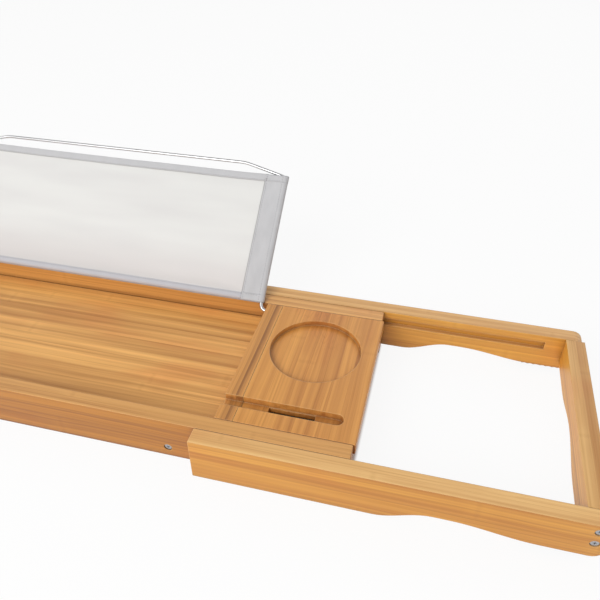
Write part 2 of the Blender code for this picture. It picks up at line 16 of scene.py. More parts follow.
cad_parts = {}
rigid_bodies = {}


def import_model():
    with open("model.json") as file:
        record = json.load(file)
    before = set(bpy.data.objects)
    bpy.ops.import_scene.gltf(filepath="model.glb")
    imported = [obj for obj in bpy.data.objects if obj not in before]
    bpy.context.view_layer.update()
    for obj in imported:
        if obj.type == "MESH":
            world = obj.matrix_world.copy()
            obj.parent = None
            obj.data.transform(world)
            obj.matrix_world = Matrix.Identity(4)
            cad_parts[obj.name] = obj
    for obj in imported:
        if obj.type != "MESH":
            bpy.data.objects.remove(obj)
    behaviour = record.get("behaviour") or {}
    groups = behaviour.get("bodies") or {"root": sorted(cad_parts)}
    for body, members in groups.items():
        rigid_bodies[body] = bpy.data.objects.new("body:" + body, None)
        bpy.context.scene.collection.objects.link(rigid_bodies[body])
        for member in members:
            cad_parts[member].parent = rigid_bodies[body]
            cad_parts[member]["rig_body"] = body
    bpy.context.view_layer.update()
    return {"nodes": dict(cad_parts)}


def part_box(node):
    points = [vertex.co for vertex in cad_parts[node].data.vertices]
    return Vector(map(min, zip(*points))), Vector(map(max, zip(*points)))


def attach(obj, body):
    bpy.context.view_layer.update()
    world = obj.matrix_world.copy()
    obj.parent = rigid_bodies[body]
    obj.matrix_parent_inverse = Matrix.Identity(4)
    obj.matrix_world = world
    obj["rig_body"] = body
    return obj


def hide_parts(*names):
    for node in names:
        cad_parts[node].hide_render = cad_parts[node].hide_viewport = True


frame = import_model()
solids = frame["nodes"]

# %% [markdown]
# ## The camera
#
# A picture of straight-edged woodwork says where its camera stood: the edges that run along the tray
# and the edges that cross it meet at two vanishing points. Fitting those gave a camera that stands to
# the right of the middle, in front, and looks down by about 37 degrees. Blender's camera looks along
# its own -Z, so looking down by 37 degrees is a turn of 53 degrees about X.

# %% Place the camera
camera_place = (0.3869, -0.4165, 0.4480)
camera_turn_deg = (52.62, 0.0, 14.09)
camera_lens = 37.53
camera_near = 0.01


def new_object(name, data):
    """An object that shows this data, put into the scene."""
    made = bpy.data.objects.new(name, data)
    bpy.context.scene.collection.objects.link(made)
    return made


camera = new_object("camera", bpy.data.cameras.new("camera"))
camera.location = camera_place
camera.rotation_euler = [math.radians(angle) for angle in camera_turn_deg]
camera.data.lens = camera_lens
camera.data.clip_start = camera_near
bpy.context.scene.camera = camera
print("camera", camera_lens, "mm lens at", camera_place)

# %% [markdown]
# ## Colours as a screen shows them
#
# Shaders work with light, and a screen's numbers aren't light: twice the number is far more than twice
# the light. It is easier to think in screen colours from 0 to 255, so this helper turns them into what
# a shader socket wants. The curve is the one that all screens share.

# %% Screen colours to light
screen_knee = 0.04045
screen_slope = 12.92
screen_offset = 0.055
screen_power = 2.4
white = (1, 1, 1, 1)


def on_screen(red, green, blue):
    """The shader colour that a screen shows as these three numbers from 0 to 255."""
    light = []
    for value in (red, green, blue):
        share = value / 255
        curved = ((share + screen_offset) / (1 + screen_offset)) ** screen_power
        light.append(share / screen_slope if share <= screen_knee else curved)
    return (*light, 1.0)


print("mid grey is", [round(value, 3) for value in on_screen(128, 128, 128)])

# %% [markdown]
# ## Node helpers
#
# A material is a small machine of nodes. Writing each node out takes four lines, so these helpers add a
# node, feed its inputs by name or in order, and start a new group or material. A value that is passed
# in may be a plain number or another node's socket.

# %% Adding and feeding nodes
def add_node(tree, kind, **settings):
    made = tree.nodes.new(kind)
    for name, value in settings.items():
        setattr(made, name, value)
    return made


def feed(tree, socket, value):
    """Join a socket to another one, or set it to a plain value."""
    if isinstance(value, bpy.types.NodeSocket):
        tree.links.new(value, socket)
    else:
        socket.default_value = value


def feed_named(tree, made, **values):
    """Feed inputs by name; an underscore stands for a space in the input's name."""
    for name, value in values.items():
        feed(tree, made.inputs[name.replace("_", " ")], value)
    return made


def feed_in_order(tree, made, values):
    """Feed a node's first inputs, and return its first output."""
    for socket, value in zip(made.inputs, values):
        feed(tree, socket, value)
    return made.outputs[0]


def new_group(name, inputs, outputs):
    """An empty node group, with what it is given and gives back; socket names are listed by kind."""
    tree = bpy.data.node_groups.new(name, "ShaderNodeTree")
    for direction, kinds in (("INPUT", inputs), ("OUTPUT", outputs)):
        for kind, labels in kinds.items():
            for label in labels:
                tree.interface.new_socket(name=label, in_out=direction, socket_type="NodeSocket" + kind)
    return tree, add_node(tree, "NodeGroupInput").outputs, add_node(tree, "NodeGroupOutput").inputs


def new_material(name):
    """An empty material with a Principled shader, and its node tree."""
    made = bpy.data.materials.new(name)
    made.use_nodes = True
    return made, made.node_tree, made.node_tree.nodes["Principled BSDF"]


print("nodes can be added and fed")

# %% [markdown]
# The next helpers are the sums that the materials are written in. Most are one Math node. A smooth step
# turns a value into a mask with a soft edge, and a bump turns a height into a bent normal.

# %% Sums, masks and bumps
def calculate(tree, operation, *values, clamp=False):
    made = add_node(tree, "ShaderNodeMath", operation=operation, use_clamp=clamp)
    return feed_in_order(tree, made, values)


def times(tree, first, second):
    return calculate(tree, "MULTIPLY", first, second)


def add_part(tree, start, value, amount, clamp=False):
    """The start plus an amount of the value."""
    return calculate(tree, "MULTIPLY_ADD", value, amount, start, clamp=clamp)


def from_half(tree, value):
    return calculate(tree, "SUBTRACT", value, 0.5)


def unsigned(tree, value):
    return calculate(tree, "ABSOLUTE", value)


def split(tree, vector):
    return feed_named(tree, add_node(tree, "ShaderNodeSeparateXYZ"), Vector=vector).outputs


def joined(tree, *values, kind="ShaderNodeCombineXYZ"):
    return feed_in_order(tree, add_node(tree, kind), values)


def scaled(tree, vector, factors):
    made = add_node(tree, "ShaderNodeVectorMath", operation="MULTIPLY")
    return feed_in_order(tree, made, (vector, factors))


def smooth_step(tree, value, low, high, start=0.0, end=1.0):
    made = add_node(tree, "ShaderNodeMapRange", interpolation_type="SMOOTHSTEP")
    feed_named(tree, made, Value=value, From_Min=low, From_Max=high, To_Min=start, To_Max=end)
    return made.outputs["Result"]


def fade_out(tree, value, low, high, start=1.0):
    """From start down to 0 as the value goes from low to high."""
    return smooth_step(tree, value, low, high, start, 0.0)


def noise_of(tree, vector, detail=2.0, roughness=0.5):
    made = add_node(tree, "ShaderNodeTexNoise")
    feed_named(tree, made, Vector=vector, Scale=1.0, Detail=detail, Roughness=roughness)
    return made.outputs["Fac"]


def scaled_noise(tree, place, factors, detail=2.0):
    return noise_of(tree, scaled(tree, place, factors), detail)


def mix_colours(tree, share, first, second, blend="MIX"):
    made = add_node(tree, "ShaderNodeMix", data_type="RGBA", blend_type=blend)
    feed(tree, made.inputs["Factor"], share)
    feed(tree, made.inputs[6], first)
    feed(tree, made.inputs[7], second)
    return made.outputs[2]


def mix_shaders(tree, share, first, second):
    return feed_in_order(tree, add_node(tree, "ShaderNodeMixShader"), (share, first, second))


def bumped(tree, height, strength, depth, **normal):
    """A normal bent by a height, whose full range is as deep as depth, in metres."""
    made = add_node(tree, "ShaderNodeBump")
    return feed_named(tree, made, Strength=strength, Distance=depth, Height=height, **normal).outputs[0]


def object_place(tree):
    return add_node(tree, "ShaderNodeTexCoord").outputs["Object"]


print("sums, masks and bumps are ready")

# %% [markdown]
# ## A plain white studio
#
# The picture is a product shot on white: a broad light from the front and above, and white paper all
# round that fills the shadows. The world gives the fill, one very large lamp in front gives the
# direction, and a weaker one behind gives the sheen on the far edges. The paper has to be white in the
# picture without more light falling on the wood, so only the rays that come straight from the camera,
# from gloss or through glass see it at full strength. A studio is brighter near its paper than at its
# ceiling, so what gloss sees fades upwards. That keeps the varnish of the near boards deep in colour,
# and leaves a pale sheen on the far ones.

# %% The world and the lamps
fill_strength = 0.50
key_power = 33.0
key_size = 1.5
key_place = (-0.55, -1.65, 1.45)
rear_power = 3.0
rear_size = 1.4
rear_place = (0.6, 1.4, 1.3)
lamp_target = (0.1, 0, 0)
ceiling_start = 0.63
ceiling_end = 0.77
ceiling_strength = 0.15


def seen_directly(tree):
    """1 for camera, glossy and transmission rays, and 0 for the rays that light a surface."""
    path = add_node(tree, "ShaderNodeLightPath").outputs
    first = calculate(tree, "MAXIMUM", path["Is Camera Ray"], path["Is Glossy Ray"])
    return calculate(tree, "MAXIMUM", first, path["Is Transmission Ray"])


def paper_strength(tree):
    """1 for every ray but a glossy one that goes steeply up, which sees the darker ceiling."""
    direction = split(tree, add_node(tree, "ShaderNodeTexCoord").outputs["Generated"])
    ceiling = smooth_step(tree, direction[2], ceiling_start, ceiling_end, 0.0, 1.0 - ceiling_strength)
    gloss = add_node(tree, "ShaderNodeLightPath").outputs["Is Glossy Ray"]
    return calculate(tree, "SUBTRACT", 1.0, times(tree, ceiling, gloss))


def white_light(tree, strength):
    return feed_named(tree, add_node(tree, "ShaderNodeBackground"), Color=white, Strength=strength).outputs[0]


def make_world():
    world = bpy.data.worlds.new("white_paper")
    world.use_nodes = True
    tree = world.node_tree
    tree.nodes.clear()
    paper = white_light(tree, paper_strength(tree))
    mixed = mix_shaders(tree, seen_directly(tree), white_light(tree, fill_strength), paper)
    feed_named(tree, add_node(tree, "ShaderNodeOutputWorld"), Surface=mixed)
    bpy.context.scene.world = world


def soft_lamp(name, place, power, size):
    lamp = new_object(name, bpy.data.lights.new(name, "AREA"))
    lamp.data.energy = power
    lamp.data.size = size
    lamp.location = place
    lamp.rotation_euler = (Vector(lamp_target) - Vector(place)).to_track_quat("-Z", "Y").to_euler()


make_world()
soft_lamp("key_lamp", key_place, key_power, key_size)
soft_lamp("rear_lamp", rear_place, rear_power, rear_size)
bpy.context.scene.view_settings.view_transform = "Standard"
print("world and two lamps; fill", fill_strength)

# %% [markdown]
# ## The paper it stands on
#
# The floor is a large round sheet. It has a little roughness so that it isn't a mirror. Part of what
# the camera sees of it is plain white, and the rest is lit paper that keeps the tray's shadow. Right
# under the tray it is lit paper only, so that the openings in the boards look as dark as they are.

# %% The floor
floor_radius = 8.0
floor_sides = 96
floor_white_share = 0.90
floor_drop = 0.0002
tray_half_size = (0.350, 0.097)
under_tray_fade = 0.004
paper_grain_scale = (700, 700, 700)
paper_tones = (on_screen(246, 246, 246), on_screen(250, 250, 250))
paper_roughness = 0.9
paper_gloss = 0.1


def mesh_of(shape, name):
    """The bmesh as a mesh of that name."""
    mesh = bpy.data.meshes.new(name)
    shape.to_mesh(mesh)
    shape.free()
    return mesh


def outside_tray(tree, place):
    """0 right under the tray's middle part and 1 beside it."""
    beyond = [smooth_step(tree, unsigned(tree, axis), half - under_tray_fade, half)
              for axis, half in zip(split(tree, place), tray_half_size)]
    return calculate(tree, "MAXIMUM", *beyond)


def make_floor_material():
    paper, tree, shader = new_material("floor_paper")
    place = object_place(tree)
    grain = scaled_noise(tree, place, paper_grain_scale)
    feed_named(tree, shader, Base_Color=mix_colours(tree, grain, *paper_tones), Roughness=paper_roughness,
               Specular_IOR_Level=paper_gloss)
    glow = feed_named(tree, add_node(tree, "ShaderNodeEmission"), Color=white)
    share = times(tree, times(tree, seen_directly(tree), floor_white_share), outside_tray(tree, place))
    feed_named(tree, tree.nodes["Material Output"],
               Surface=mix_shaders(tree, share, shader.outputs[0], glow.outputs[0]))
    return paper


def make_floor():
    shape = bmesh.new()
    bmesh.ops.create_circle(shape, cap_ends=True, segments=floor_sides, radius=floor_radius)
    bmesh.ops.translate(shape, vec=(0, 0, -floor_drop), verts=shape.verts)
    floor = new_object("floor", mesh_of(shape, "floor"))
    floor.data.materials.append(make_floor_material())


make_floor()
print("floor of radius", floor_radius, "m")

# %% [markdown]
# ## Laminated bamboo
#
# Bamboo isn't sawn as a board. The cane is split into strips, and the strips are glued side by side and
# in layers. So the material is built in the same order. First a place on the piece is turned into a
# strip number and a layer number, and each strip gets a tone of its own. Then long fibres run along it,
# with the darker, harder bundles of one side of the cane closer together. Every 40 cm or so a strip
# has a knuckle, where the cane had its joint. Last come the thin glue lines.
#
# The group takes a place whose X runs along the grain, Y across the strips and Z through the layers,
# so one group serves every board, whichever way it lies.

# %% Strips and layers
strip_wander = 0.17
strip_wander_rate = 2.3
glue_line_half = 0.00012
glue_line_fade = 0.00042


def add_strips(tree, across, width, seed):
    """Number and share of the strip at a place; widths wander a little from strip to strip."""
    plain = calculate(tree, "DIVIDE", across, width)
    wave = calculate(tree, "SINE", add_part(tree, seed, plain, strip_wander_rate))
    position = add_part(tree, plain, wave, strip_wander)
    return calculate(tree, "FLOOR", position), calculate(tree, "FRACT", position)


def add_glue_line(tree, share, width):
    """1 on the joint between two strips, fading out within half a millimetre."""
    to_edge = calculate(tree, "SUBTRACT", 0.5, unsigned(tree, from_half(tree, share)))
    return fade_out(tree, times(tree, to_edge, width), glue_line_half, glue_line_fade)


print("glue lines fade out over", glue_line_fade * 1000, "mm")

# %% [markdown]
# The fibres are noises that are stretched hard along the grain, so that one streak runs on for most of a
# board. The finest is under a millimetre across, and the widest makes the slow clouding of a varnished
# board. Veins are the few dark, sharp lines between streaks. The grain also wanders sideways a little on
# its way. Each strip reads the noises at its own shift, so no fibre runs across a glue line.

# %% Fibres and veins
shift_along = 17.0
shift_across = 3.0
fine_scale = (14.0, 1250.0, 1250.0)
cloud_scale = (4.0, 30.0, 30.0)
wander_scale = (11.0, 26.0, 26.0)
wander_reach = 0.0034
fibre_roughness = 0.55
streak_along = 1.7
streak_detail = 3.0
vein_along = 1.3
vein_detail = 1.5
vein_share = 0.45
vein_step = (0.58, 0.68)


def long_noise(tree, place, along_rate, width, detail):
    """A noise whose features are one width across and very long."""
    along, across, deep = place
    sides = [calculate(tree, "DIVIDE", value, width) for value in (across, deep)]
    return noise_of(tree, joined(tree, times(tree, along, along_rate), *sides), detail, fibre_roughness)


def add_fibres(tree, along, across, deep, shift, streak_width):
    """Fine fibres, broad streaks, dark veins and slow clouds, as four values."""
    moved = add_part(tree, along, shift, shift_along)
    side = add_part(tree, across, shift, shift_across)
    wander = scaled_noise(tree, joined(tree, moved, side, deep), wander_scale, 1.0)
    side = add_part(tree, side, from_half(tree, wander), wander_reach)
    vector = joined(tree, moved, side, deep)
    fine = scaled_noise(tree, vector, fine_scale)
    cloud = scaled_noise(tree, vector, cloud_scale, 1.0)
    streak = long_noise(tree, (moved, side, deep), streak_along, streak_width, streak_detail)
    vein_width = times(tree, streak_width, vein_share)
    vein = long_noise(tree, (moved, side, deep), vein_along, vein_width, vein_detail)
    return fine, streak, smooth_step(tree, vein, *vein_step), cloud


print("fine fibres are", 1000 / fine_scale[1], "mm across")

# %% [markdown]
# A knuckle shows as a faint line across a strip, not quite straight, with a paler swelling beside it.
# The places where it comes are shifted from strip to strip, as strips of one cane rarely end up in line.

# %% Knuckles
knuckle_spacing = 0.43
knuckle_shift = 9.0
knuckle_wobble = 0.006
wobble_scale = 420.0
knuckle_line_step = (0.0004, 0.0034)
swelling_step = (0.0030, 0.0160)


def add_knuckles(tree, along, across, shift):
    """A faint soft line at each knuckle, and the paler swelling beside it."""
    turns = add_part(tree, calculate(tree, "DIVIDE", along, knuckle_spacing), shift, knuckle_shift)
    off = from_half(tree, calculate(tree, "FRACT", turns))
    place = joined(tree, times(tree, across, wobble_scale), calculate(tree, "FLOOR", turns))
    wobble = from_half(tree, noise_of(tree, place))
    distance = unsigned(tree, add_part(tree, times(tree, off, knuckle_spacing), wobble, knuckle_wobble))
    return fade_out(tree, distance, *knuckle_line_step), fade_out(tree, distance, *swelling_step)


print("a knuckle about every", knuckle_spacing * 100, "cm of a strip")

# %% [markdown]
# Where a board is cut across, the bundles show as dots instead of lines. A Voronoi texture makes the
# dots, and a mask says where a face looks along the grain. Here and there the cane has a redder patch,
# and in a wide board curved figure lines show inside it. They are contour lines of a noise: wherever its
# value passes one of a few even steps.

# %% Cut ends and red patches
end_dots_scale = (20.0, 1050.0, 1050.0)
end_dots_step = (0.18, 0.36)
patch_scale = (9.0, 24.0, 24.0)
patch_step = (0.50, 0.72)
figure_scale = (26.0, 70.0, 70.0)
figure_turns = 9.0
figure_step = (0.30, 0.48)


def add_end_dots(tree, place):
    cells = add_node(tree, "ShaderNodeTexVoronoi")
    feed_named(tree, cells, Vector=scaled(tree, place, end_dots_scale), Scale=1.0)
    return fade_out(tree, cells.outputs["Distance"], *end_dots_step)


def add_patches(tree, place, seed):
    """The redder patches, and the figure lines inside them."""
    shift = add_node(tree, "ShaderNodeVectorMath", operation="ADD")
    moved = feed_in_order(tree, shift, (place, joined(tree, seed, seed, seed)))
    patch = smooth_step(tree, scaled_noise(tree, moved, patch_scale), *patch_step)
    contour = scaled_noise(tree, moved, figure_scale, 1.0)
    turn = calculate(tree, "FRACT", times(tree, contour, figure_turns))
    line = smooth_step(tree, unsigned(tree, from_half(tree, turn)), *figure_step)
    return patch, times(tree, patch, line)


print("figure lines in", int(figure_turns), "steps")

# %% [markdown]
# Now the whole material is put together. A tone between dark and pale is summed up from the strip, its
# streaks and the clouds. The marks (bundles, veins, knuckles, glue lines, dots) then darken it, and they
# take more from blue than from red, because a dark fibre is brown and not grey.

# %% Tone and colour
middle_tone = 0.55
cloud_contrast = 0.6
lean_contrast = 0.5
swelling_paleness = 0.08
mark_darkness = {"bundle": 0.11, "vein": 0.17, "knuckle": 0.07, "glue": 0.13, "dots": 0.30, "cut end": 0.08,
                 "figure": 0.16}
mark_height = {"bundle": -0.35, "vein": -0.25, "glue": -0.5, "knuckle": -0.3, "dots": -0.4}
red_power = 0.75
blue_power = 1.5
patch_strength = 0.55
patch_tint = on_screen(250, 226, 214)


def bamboo_tone(tree, given, strip_tone, streak, cloud, lean, swelling):
    """Where a place lies between the dark tone, 0, and the pale one, 1."""
    tone = add_part(tree, middle_tone, from_half(tree, streak), given["Streak Contrast"])
    tone = add_part(tree, tone, from_half(tree, strip_tone), given["Strip Contrast"])
    tone = add_part(tree, tone, from_half(tree, cloud), cloud_contrast)
    tone = add_part(tree, tone, lean, lean_contrast)
    return add_part(tree, tone, swelling, swelling_paleness, clamp=True)


def bamboo_colour(tree, given, tone, marks, patch):
    colour = mix_colours(tree, tone, given["Dark"], given["Pale"])
    left = 1.0
    for name, darkness in mark_darkness.items():
        left = times(tree, left, add_part(tree, 1.0, marks[name], -darkness))
    shade = joined(tree, calculate(tree, "POWER", left, red_power), left,
                   calculate(tree, "POWER", left, blue_power), kind="ShaderNodeCombineColor")
    colour = mix_colours(tree, 1.0, colour, shade, "MULTIPLY")
    colour = mix_colours(tree, times(tree, patch, patch_strength), colour, patch_tint, "MULTIPLY")
    # Upright faces are multiplied by a tint: painted shade for how the light falls on them.
    return mix_colours(tree, given["Upright"], colour, given["Upright Tint"], "MULTIPLY")


print("marks that darken a strip:", ", ".join(mark_darkness))

# %% [markdown]
# The roughness and the height come from the same fibres, so a dark bundle is also a little duller and
# lies a little deeper than the smooth strip beside it. A bundle starts at a lower value of the fine
# noise towards the strip's dense side, which packs the bundles closer there.

# %% The bamboo group
bundle_step = (0.55, 0.70)
dense_side_pull = -0.12
smoothest = 0.36
fine_roughness = 0.12
bundle_roughness = 0.08
cut_end_roughness = 0.18
fine_height = 0.30
bamboo_inputs = {"Vector": ["Place"], "Color": ["Pale", "Dark", "Upright Tint"],
                 "Float": ["End Facing", "Upright", "Strip Width", "Layer", "Strip Contrast",
                           "Streak Contrast", "Streak Width", "Figure", "Seed"]}


def add_strip_key(tree, strip, layer_number, seed):
    """Three random values for a strip: its tone, its shift and its dense side."""
    dice = add_node(tree, "ShaderNodeTexWhiteNoise")
    feed_named(tree, dice, Vector=joined(tree, strip, layer_number, seed))
    return feed_named(tree, add_node(tree, "ShaderNodeSeparateColor"), Color=dice.outputs["Color"]).outputs


def feed_surface(tree, result, end_facing, fine, marks):
    """Roughness and height of the group."""
    rough = add_part(tree, smoothest, fine, fine_roughness)
    rough = add_part(tree, rough, marks["bundle"], bundle_roughness)
    feed(tree, result["Roughness"], add_part(tree, rough, end_facing, cut_end_roughness))
    height = times(tree, fine, fine_height)
    for name, amount in mark_height.items():
        height = add_part(tree, height, marks[name], amount)
    feed(tree, result["Height"], height)


def make_bamboo_group():
    tree, given, result = new_group("laminated_bamboo", bamboo_inputs,
                                    {"Color": ["Color"], "Float": ["Roughness", "Height"]})
    along, across, deep = split(tree, given["Place"])
    width, layer, seed, end_facing = (given[name] for name in ("Strip Width", "Layer", "Seed", "End Facing"))
    strip, strip_share = add_strips(tree, across, width, seed)
    layer_position = calculate(tree, "DIVIDE", deep, layer)
    strip_tone, shift, side = add_strip_key(tree, strip, calculate(tree, "FLOOR", layer_position), seed)
    fine, streak, vein, cloud = add_fibres(tree, along, across, deep, shift, given["Streak Width"])
    knuckle, swelling = add_knuckles(tree, along, across, shift)
    patch, figure = add_patches(tree, given["Place"], seed)
    lean = times(tree, from_half(tree, strip_share), from_half(tree, side))
    glue = calculate(tree, "MAXIMUM", add_glue_line(tree, strip_share, width),
                     add_glue_line(tree, calculate(tree, "FRACT", layer_position), layer))
    bundle = smooth_step(tree, fine, *[add_part(tree, stop, lean, dense_side_pull) for stop in bundle_step])
    marks = {"bundle": bundle, "vein": vein, "knuckle": knuckle, "glue": glue, "cut end": end_facing,
             "dots": times(tree, add_end_dots(tree, given["Place"]), end_facing),
             "figure": times(tree, figure, given["Figure"])}
    tone = bamboo_tone(tree, given, strip_tone, streak, cloud, lean, swelling)
    feed(tree, result["Color"], bamboo_colour(tree, given, tone, marks, patch))
    feed_surface(tree, result, end_facing, fine, marks)
    return tree


bamboo_group = make_bamboo_group()
print("bamboo group with", len(bamboo_group.nodes), "nodes")

# %% [markdown]
# ## Every board gets its own bamboo
#
# A shop would not cut two boards out of the same strips, so each wooden piece gets the group with its
# own seed, with its grain turned the way the board's grain runs and with the pattern centred on the
# board, so that a glue line falls in the middle of a rail and not 2 mm from its edge. Long boards have
# their grain along X. The decks, the dividers, the braces and the end bars have it along Y.
#
# Two effects depend on the shape. The Bevel node bends the normal near an edge, which rounds the rims of the
# recess and the slots too. Where it bends, the edge is also painted paler, as a highlight. And the Ambient
# Occlusion node finds the creases between two boards, and they are painted darker, as shade.

# %% Turning the pattern, edges and creases
ray_samples = 6
edge_step = (0.80, 0.985)
# A painted highlight along the edges: how strong it is, and its colour.
edge_highlight_strength = 0.60
edge_highlight_colour = on_screen(250, 208, 142)
# Painted shade in the creases between boards: its reach, its step and its dark colour.
wood_crease_shade = {"reach": 0.009, "step": (0.30, 0.98), "dark": on_screen(108, 64, 30)}


def turned_place(tree, place, grain, across, middle):
    """The place measured from the board's middle, with X along the grain and Y across the strips."""
    centred = feed_named(tree, add_node(tree, "ShaderNodeMapping"), Vector=place,
                         Location=[-value for value in middle])
    axes = split(tree, centred.outputs[0])
    first, second = "XYZ".index(grain), "XYZ".index(across)
    return joined(tree, axes[first], axes[second], axes[3 - first - second])


def edge_share(tree, bent):
    """How far the Bevel node has bent the normal: 0 on a flat and near 1 on an edge."""
    product = add_node(tree, "ShaderNodeVectorMath", operation="DOT_PRODUCT")
    feed_in_order(tree, product, (bent, add_node(tree, "ShaderNodeNewGeometry").outputs["Normal"]))
    return fade_out(tree, product.outputs["Value"], *edge_step)


def with_crease_shade(tree, colour, amount, reach, step, dark):
    """The colour with painted shade: darker where another surface is within reach."""
    crease_shade = add_node(tree, "ShaderNodeAmbientOcclusion", samples=ray_samples)
    feed_named(tree, crease_shade, Distance=reach)
    return mix_colours(tree, fade_out(tree, crease_shade.outputs["AO"], *step, amount), colour, dark)


print("creases in wood reach", wood_crease_shade["reach"] * 1000, "mm")

# %% [markdown]
# A board's look is a small table: which way its grain runs, how thick its layers are, its two tones, how wide
# and how strong its strips and streaks are, and how much painted shade its creases get. Boards that face the
# lamp and boards that stand upright catch the light differently, so upright faces also get a tint of painted
# shade.

# %% Bamboo materials
end_step = (0.6, 0.8)
upright_step = (0.3, 0.8)
eased_edge = 0.0012
grain_bump = 0.6
grain_depth = 0.00012
varnish = {"Specular_IOR_Level": 0.60, "Coat_Weight": 0.12, "Coat_Roughness": 0.22}


def bamboo_material(name, middle, seed, look):
    made, tree, shader = new_material(name)
    coordinates = add_node(tree, "ShaderNodeTexCoord").outputs
    facing = split(tree, coordinates["Normal"])
    along_grain = unsigned(tree, facing["XYZ".index(look["grain"])])
    group = add_node(tree, "ShaderNodeGroup", node_tree=bamboo_group)
    feed_named(tree, group, Seed=seed, End_Facing=smooth_step(tree, along_grain, *end_step),
               Upright=fade_out(tree, unsigned(tree, facing[2]), *upright_step),
               Place=turned_place(tree, coordinates["Object"], look["grain"], look["across"], middle),
               **look["inputs"])
    edge = feed_named(tree, add_node(tree, "ShaderNodeBevel", samples=ray_samples), Radius=eased_edge)
    normal = edge.outputs[0]
    # The edges are painted paler, as a highlight.
    highlighted = mix_colours(tree, times(tree, edge_share(tree, normal), edge_highlight_strength), group.outputs["Color"],
                       edge_highlight_colour)
    # The base colour gets painted shade in the creases.
    feed_named(tree, shader, Base_Color=with_crease_shade(tree, highlighted, look["crease_shade"], **wood_crease_shade),
               Roughness=group.outputs["Roughness"],
               Normal=bumped(tree, group.outputs["Height"], grain_bump, grain_depth, Normal=normal),
               **varnish)
    return made


def board_look(grain, across, layer, tones, strip, streak, upright_shade=white, figure=0.0, crease_shade=0.70):
    """What one kind of board looks like; strip and streak are pairs of a width and a contrast."""
    inputs = {"Layer": layer, "Pale": tones[0], "Dark": tones[1], "Upright_Tint": upright_shade, "Figure": figure,
              "Strip_Width": strip[0], "Strip_Contrast": strip[1],
              "Streak_Width": streak[0], "Streak_Contrast": streak[1]}
    return {"grain": grain, "across": across, "crease_shade": crease_shade, "inputs": inputs}


print("varnish:", varnish)

# %% [markdown]
# The tones were read off the picture board by board. Each row below names the boards that share a look.
# The floor is wide and pale, the dividers are darker strips, and the rails show their layers edge-on.

# %% Dress the woodwork
floor_tones = (on_screen(249, 188, 106), on_screen(194, 134, 65))
deck_tones = (on_screen(233, 165, 82), on_screen(192, 124, 55))
divider_tones = (on_screen(226, 160, 84), on_screen(158, 102, 48))
rear_rail_tones = (on_screen(236, 178, 106), on_screen(186, 124, 62))
# The front rail's tones are darker than the rear rail's. This is painted shade, taking back light that the
# key lamp throws on its front.
front_rail_shaded_tones = (on_screen(222, 164, 94), on_screen(166, 108, 52))
arm_tones = (on_screen(248, 200, 130), on_screen(200, 140, 74))
brace_tones = (on_screen(214, 156, 92), on_screen(176, 120, 64))
# Tints of painted shade for the upright faces.
rear_rail_upright_shade = on_screen(250, 245, 226)
front_rail_upright_shade = on_screen(230, 207, 112)
arm_upright_shade = on_screen(252, 232, 150)
seed_step = 1.37
wooden_pieces = [
    (("floor_board",), board_look("X", "Y", 0.012, floor_tones, (0.0135, 0.40), (0.0105, 3.3))),
    (("right_deck", "left_deck"),
     board_look("Y", "X", 0.009, deck_tones, (0.0185, 0.40), (0.0055, 2.3), figure=1.0)),
    (("right_divider", "left_divider"),
     board_look("Y", "X", 0.0205, divider_tones, (0.0165, 0.25), (0.0060, 3.4), crease_shade=0.60)),
    (("rear_rail",),
     board_look("X", "Z", 0.0073, rear_rail_tones, (0.0215, 0.55), (0.0050, 3.0), upright_shade=rear_rail_upright_shade)),
    (("front_rail",),
     board_look("X", "Z", 0.0073, front_rail_shaded_tones, (0.0215, 0.80), (0.0050, 3.0), upright_shade=front_rail_upright_shade)),
    (("right_floor_brace", "centre_floor_brace", "left_floor_brace", "right_deck_cleat", "left_deck_cleat",
      "right_deck_brace", "left_deck_brace"),
     board_look("Y", "X", 0.0086, brace_tones, (0.020, 0.4), (0.0060, 1.6))),
    (("right_arm_rear_bar", "right_arm_front_bar", "left_arm_rear_bar", "left_arm_front_bar"),
     board_look("X", "Z", 0.0075, arm_tones, (0.0215, 0.35), (0.0055, 2.1), upright_shade=arm_upright_shade, crease_shade=0.50)),
    (("right_arm_end_bar", "left_arm_end_bar"),
     board_look("Y", "Z", 0.009, arm_tones, (0.0150, 0.40), (0.0055, 1.9), upright_shade=arm_upright_shade, crease_shade=0.50)),
]


def repaint(name, look):
    """Give a solid piece another material."""
    solids[name].data.materials.clear()
    solids[name].data.materials.append(look)


def finish_woodwork():
    seed = 0.0
    for names, look in wooden_pieces:
        for name in names:
            low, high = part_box(name)
            seed += seed_step
            repaint(name, bamboo_material(name + "_bamboo", (low + high) / 2, seed, look))


finish_woodwork()
print("boards with their own bamboo:", sum(len(names) for names, look in wooden_pieces))

# %% [markdown]
# ## Metal
#
# Polished metal is mostly what it reflects. What makes it real is the small unevenness of the polish:
# hairline scratches and faint smudges in the roughness. One group makes both. The bright wire uses it
# with its own values, and the screws and guide pins with duller ones.

# %% Metal materials
scratch_scale = (300, 3200, 2600)
smudge_scale = (90, 110, 100)
scratch_bump = 0.3


def make_polish_group():
    tree, given, result = new_group("polish", {"Vector": ["Place"], "Float": ["Roughness", "Spread"]},
                                    {"Float": ["Roughness", "Height"]})
    scratches = scaled_noise(tree, given["Place"], scratch_scale)
    smudges = scaled_noise(tree, given["Place"], smudge_scale, 3.0)
    off = calculate(tree, "SUBTRACT", calculate(tree, "ADD", scratches, smudges), 1.0)
    feed(tree, result["Roughness"], add_part(tree, given["Roughness"], off, given["Spread"], clamp=True))
    feed(tree, result["Height"], scratches)
    return tree


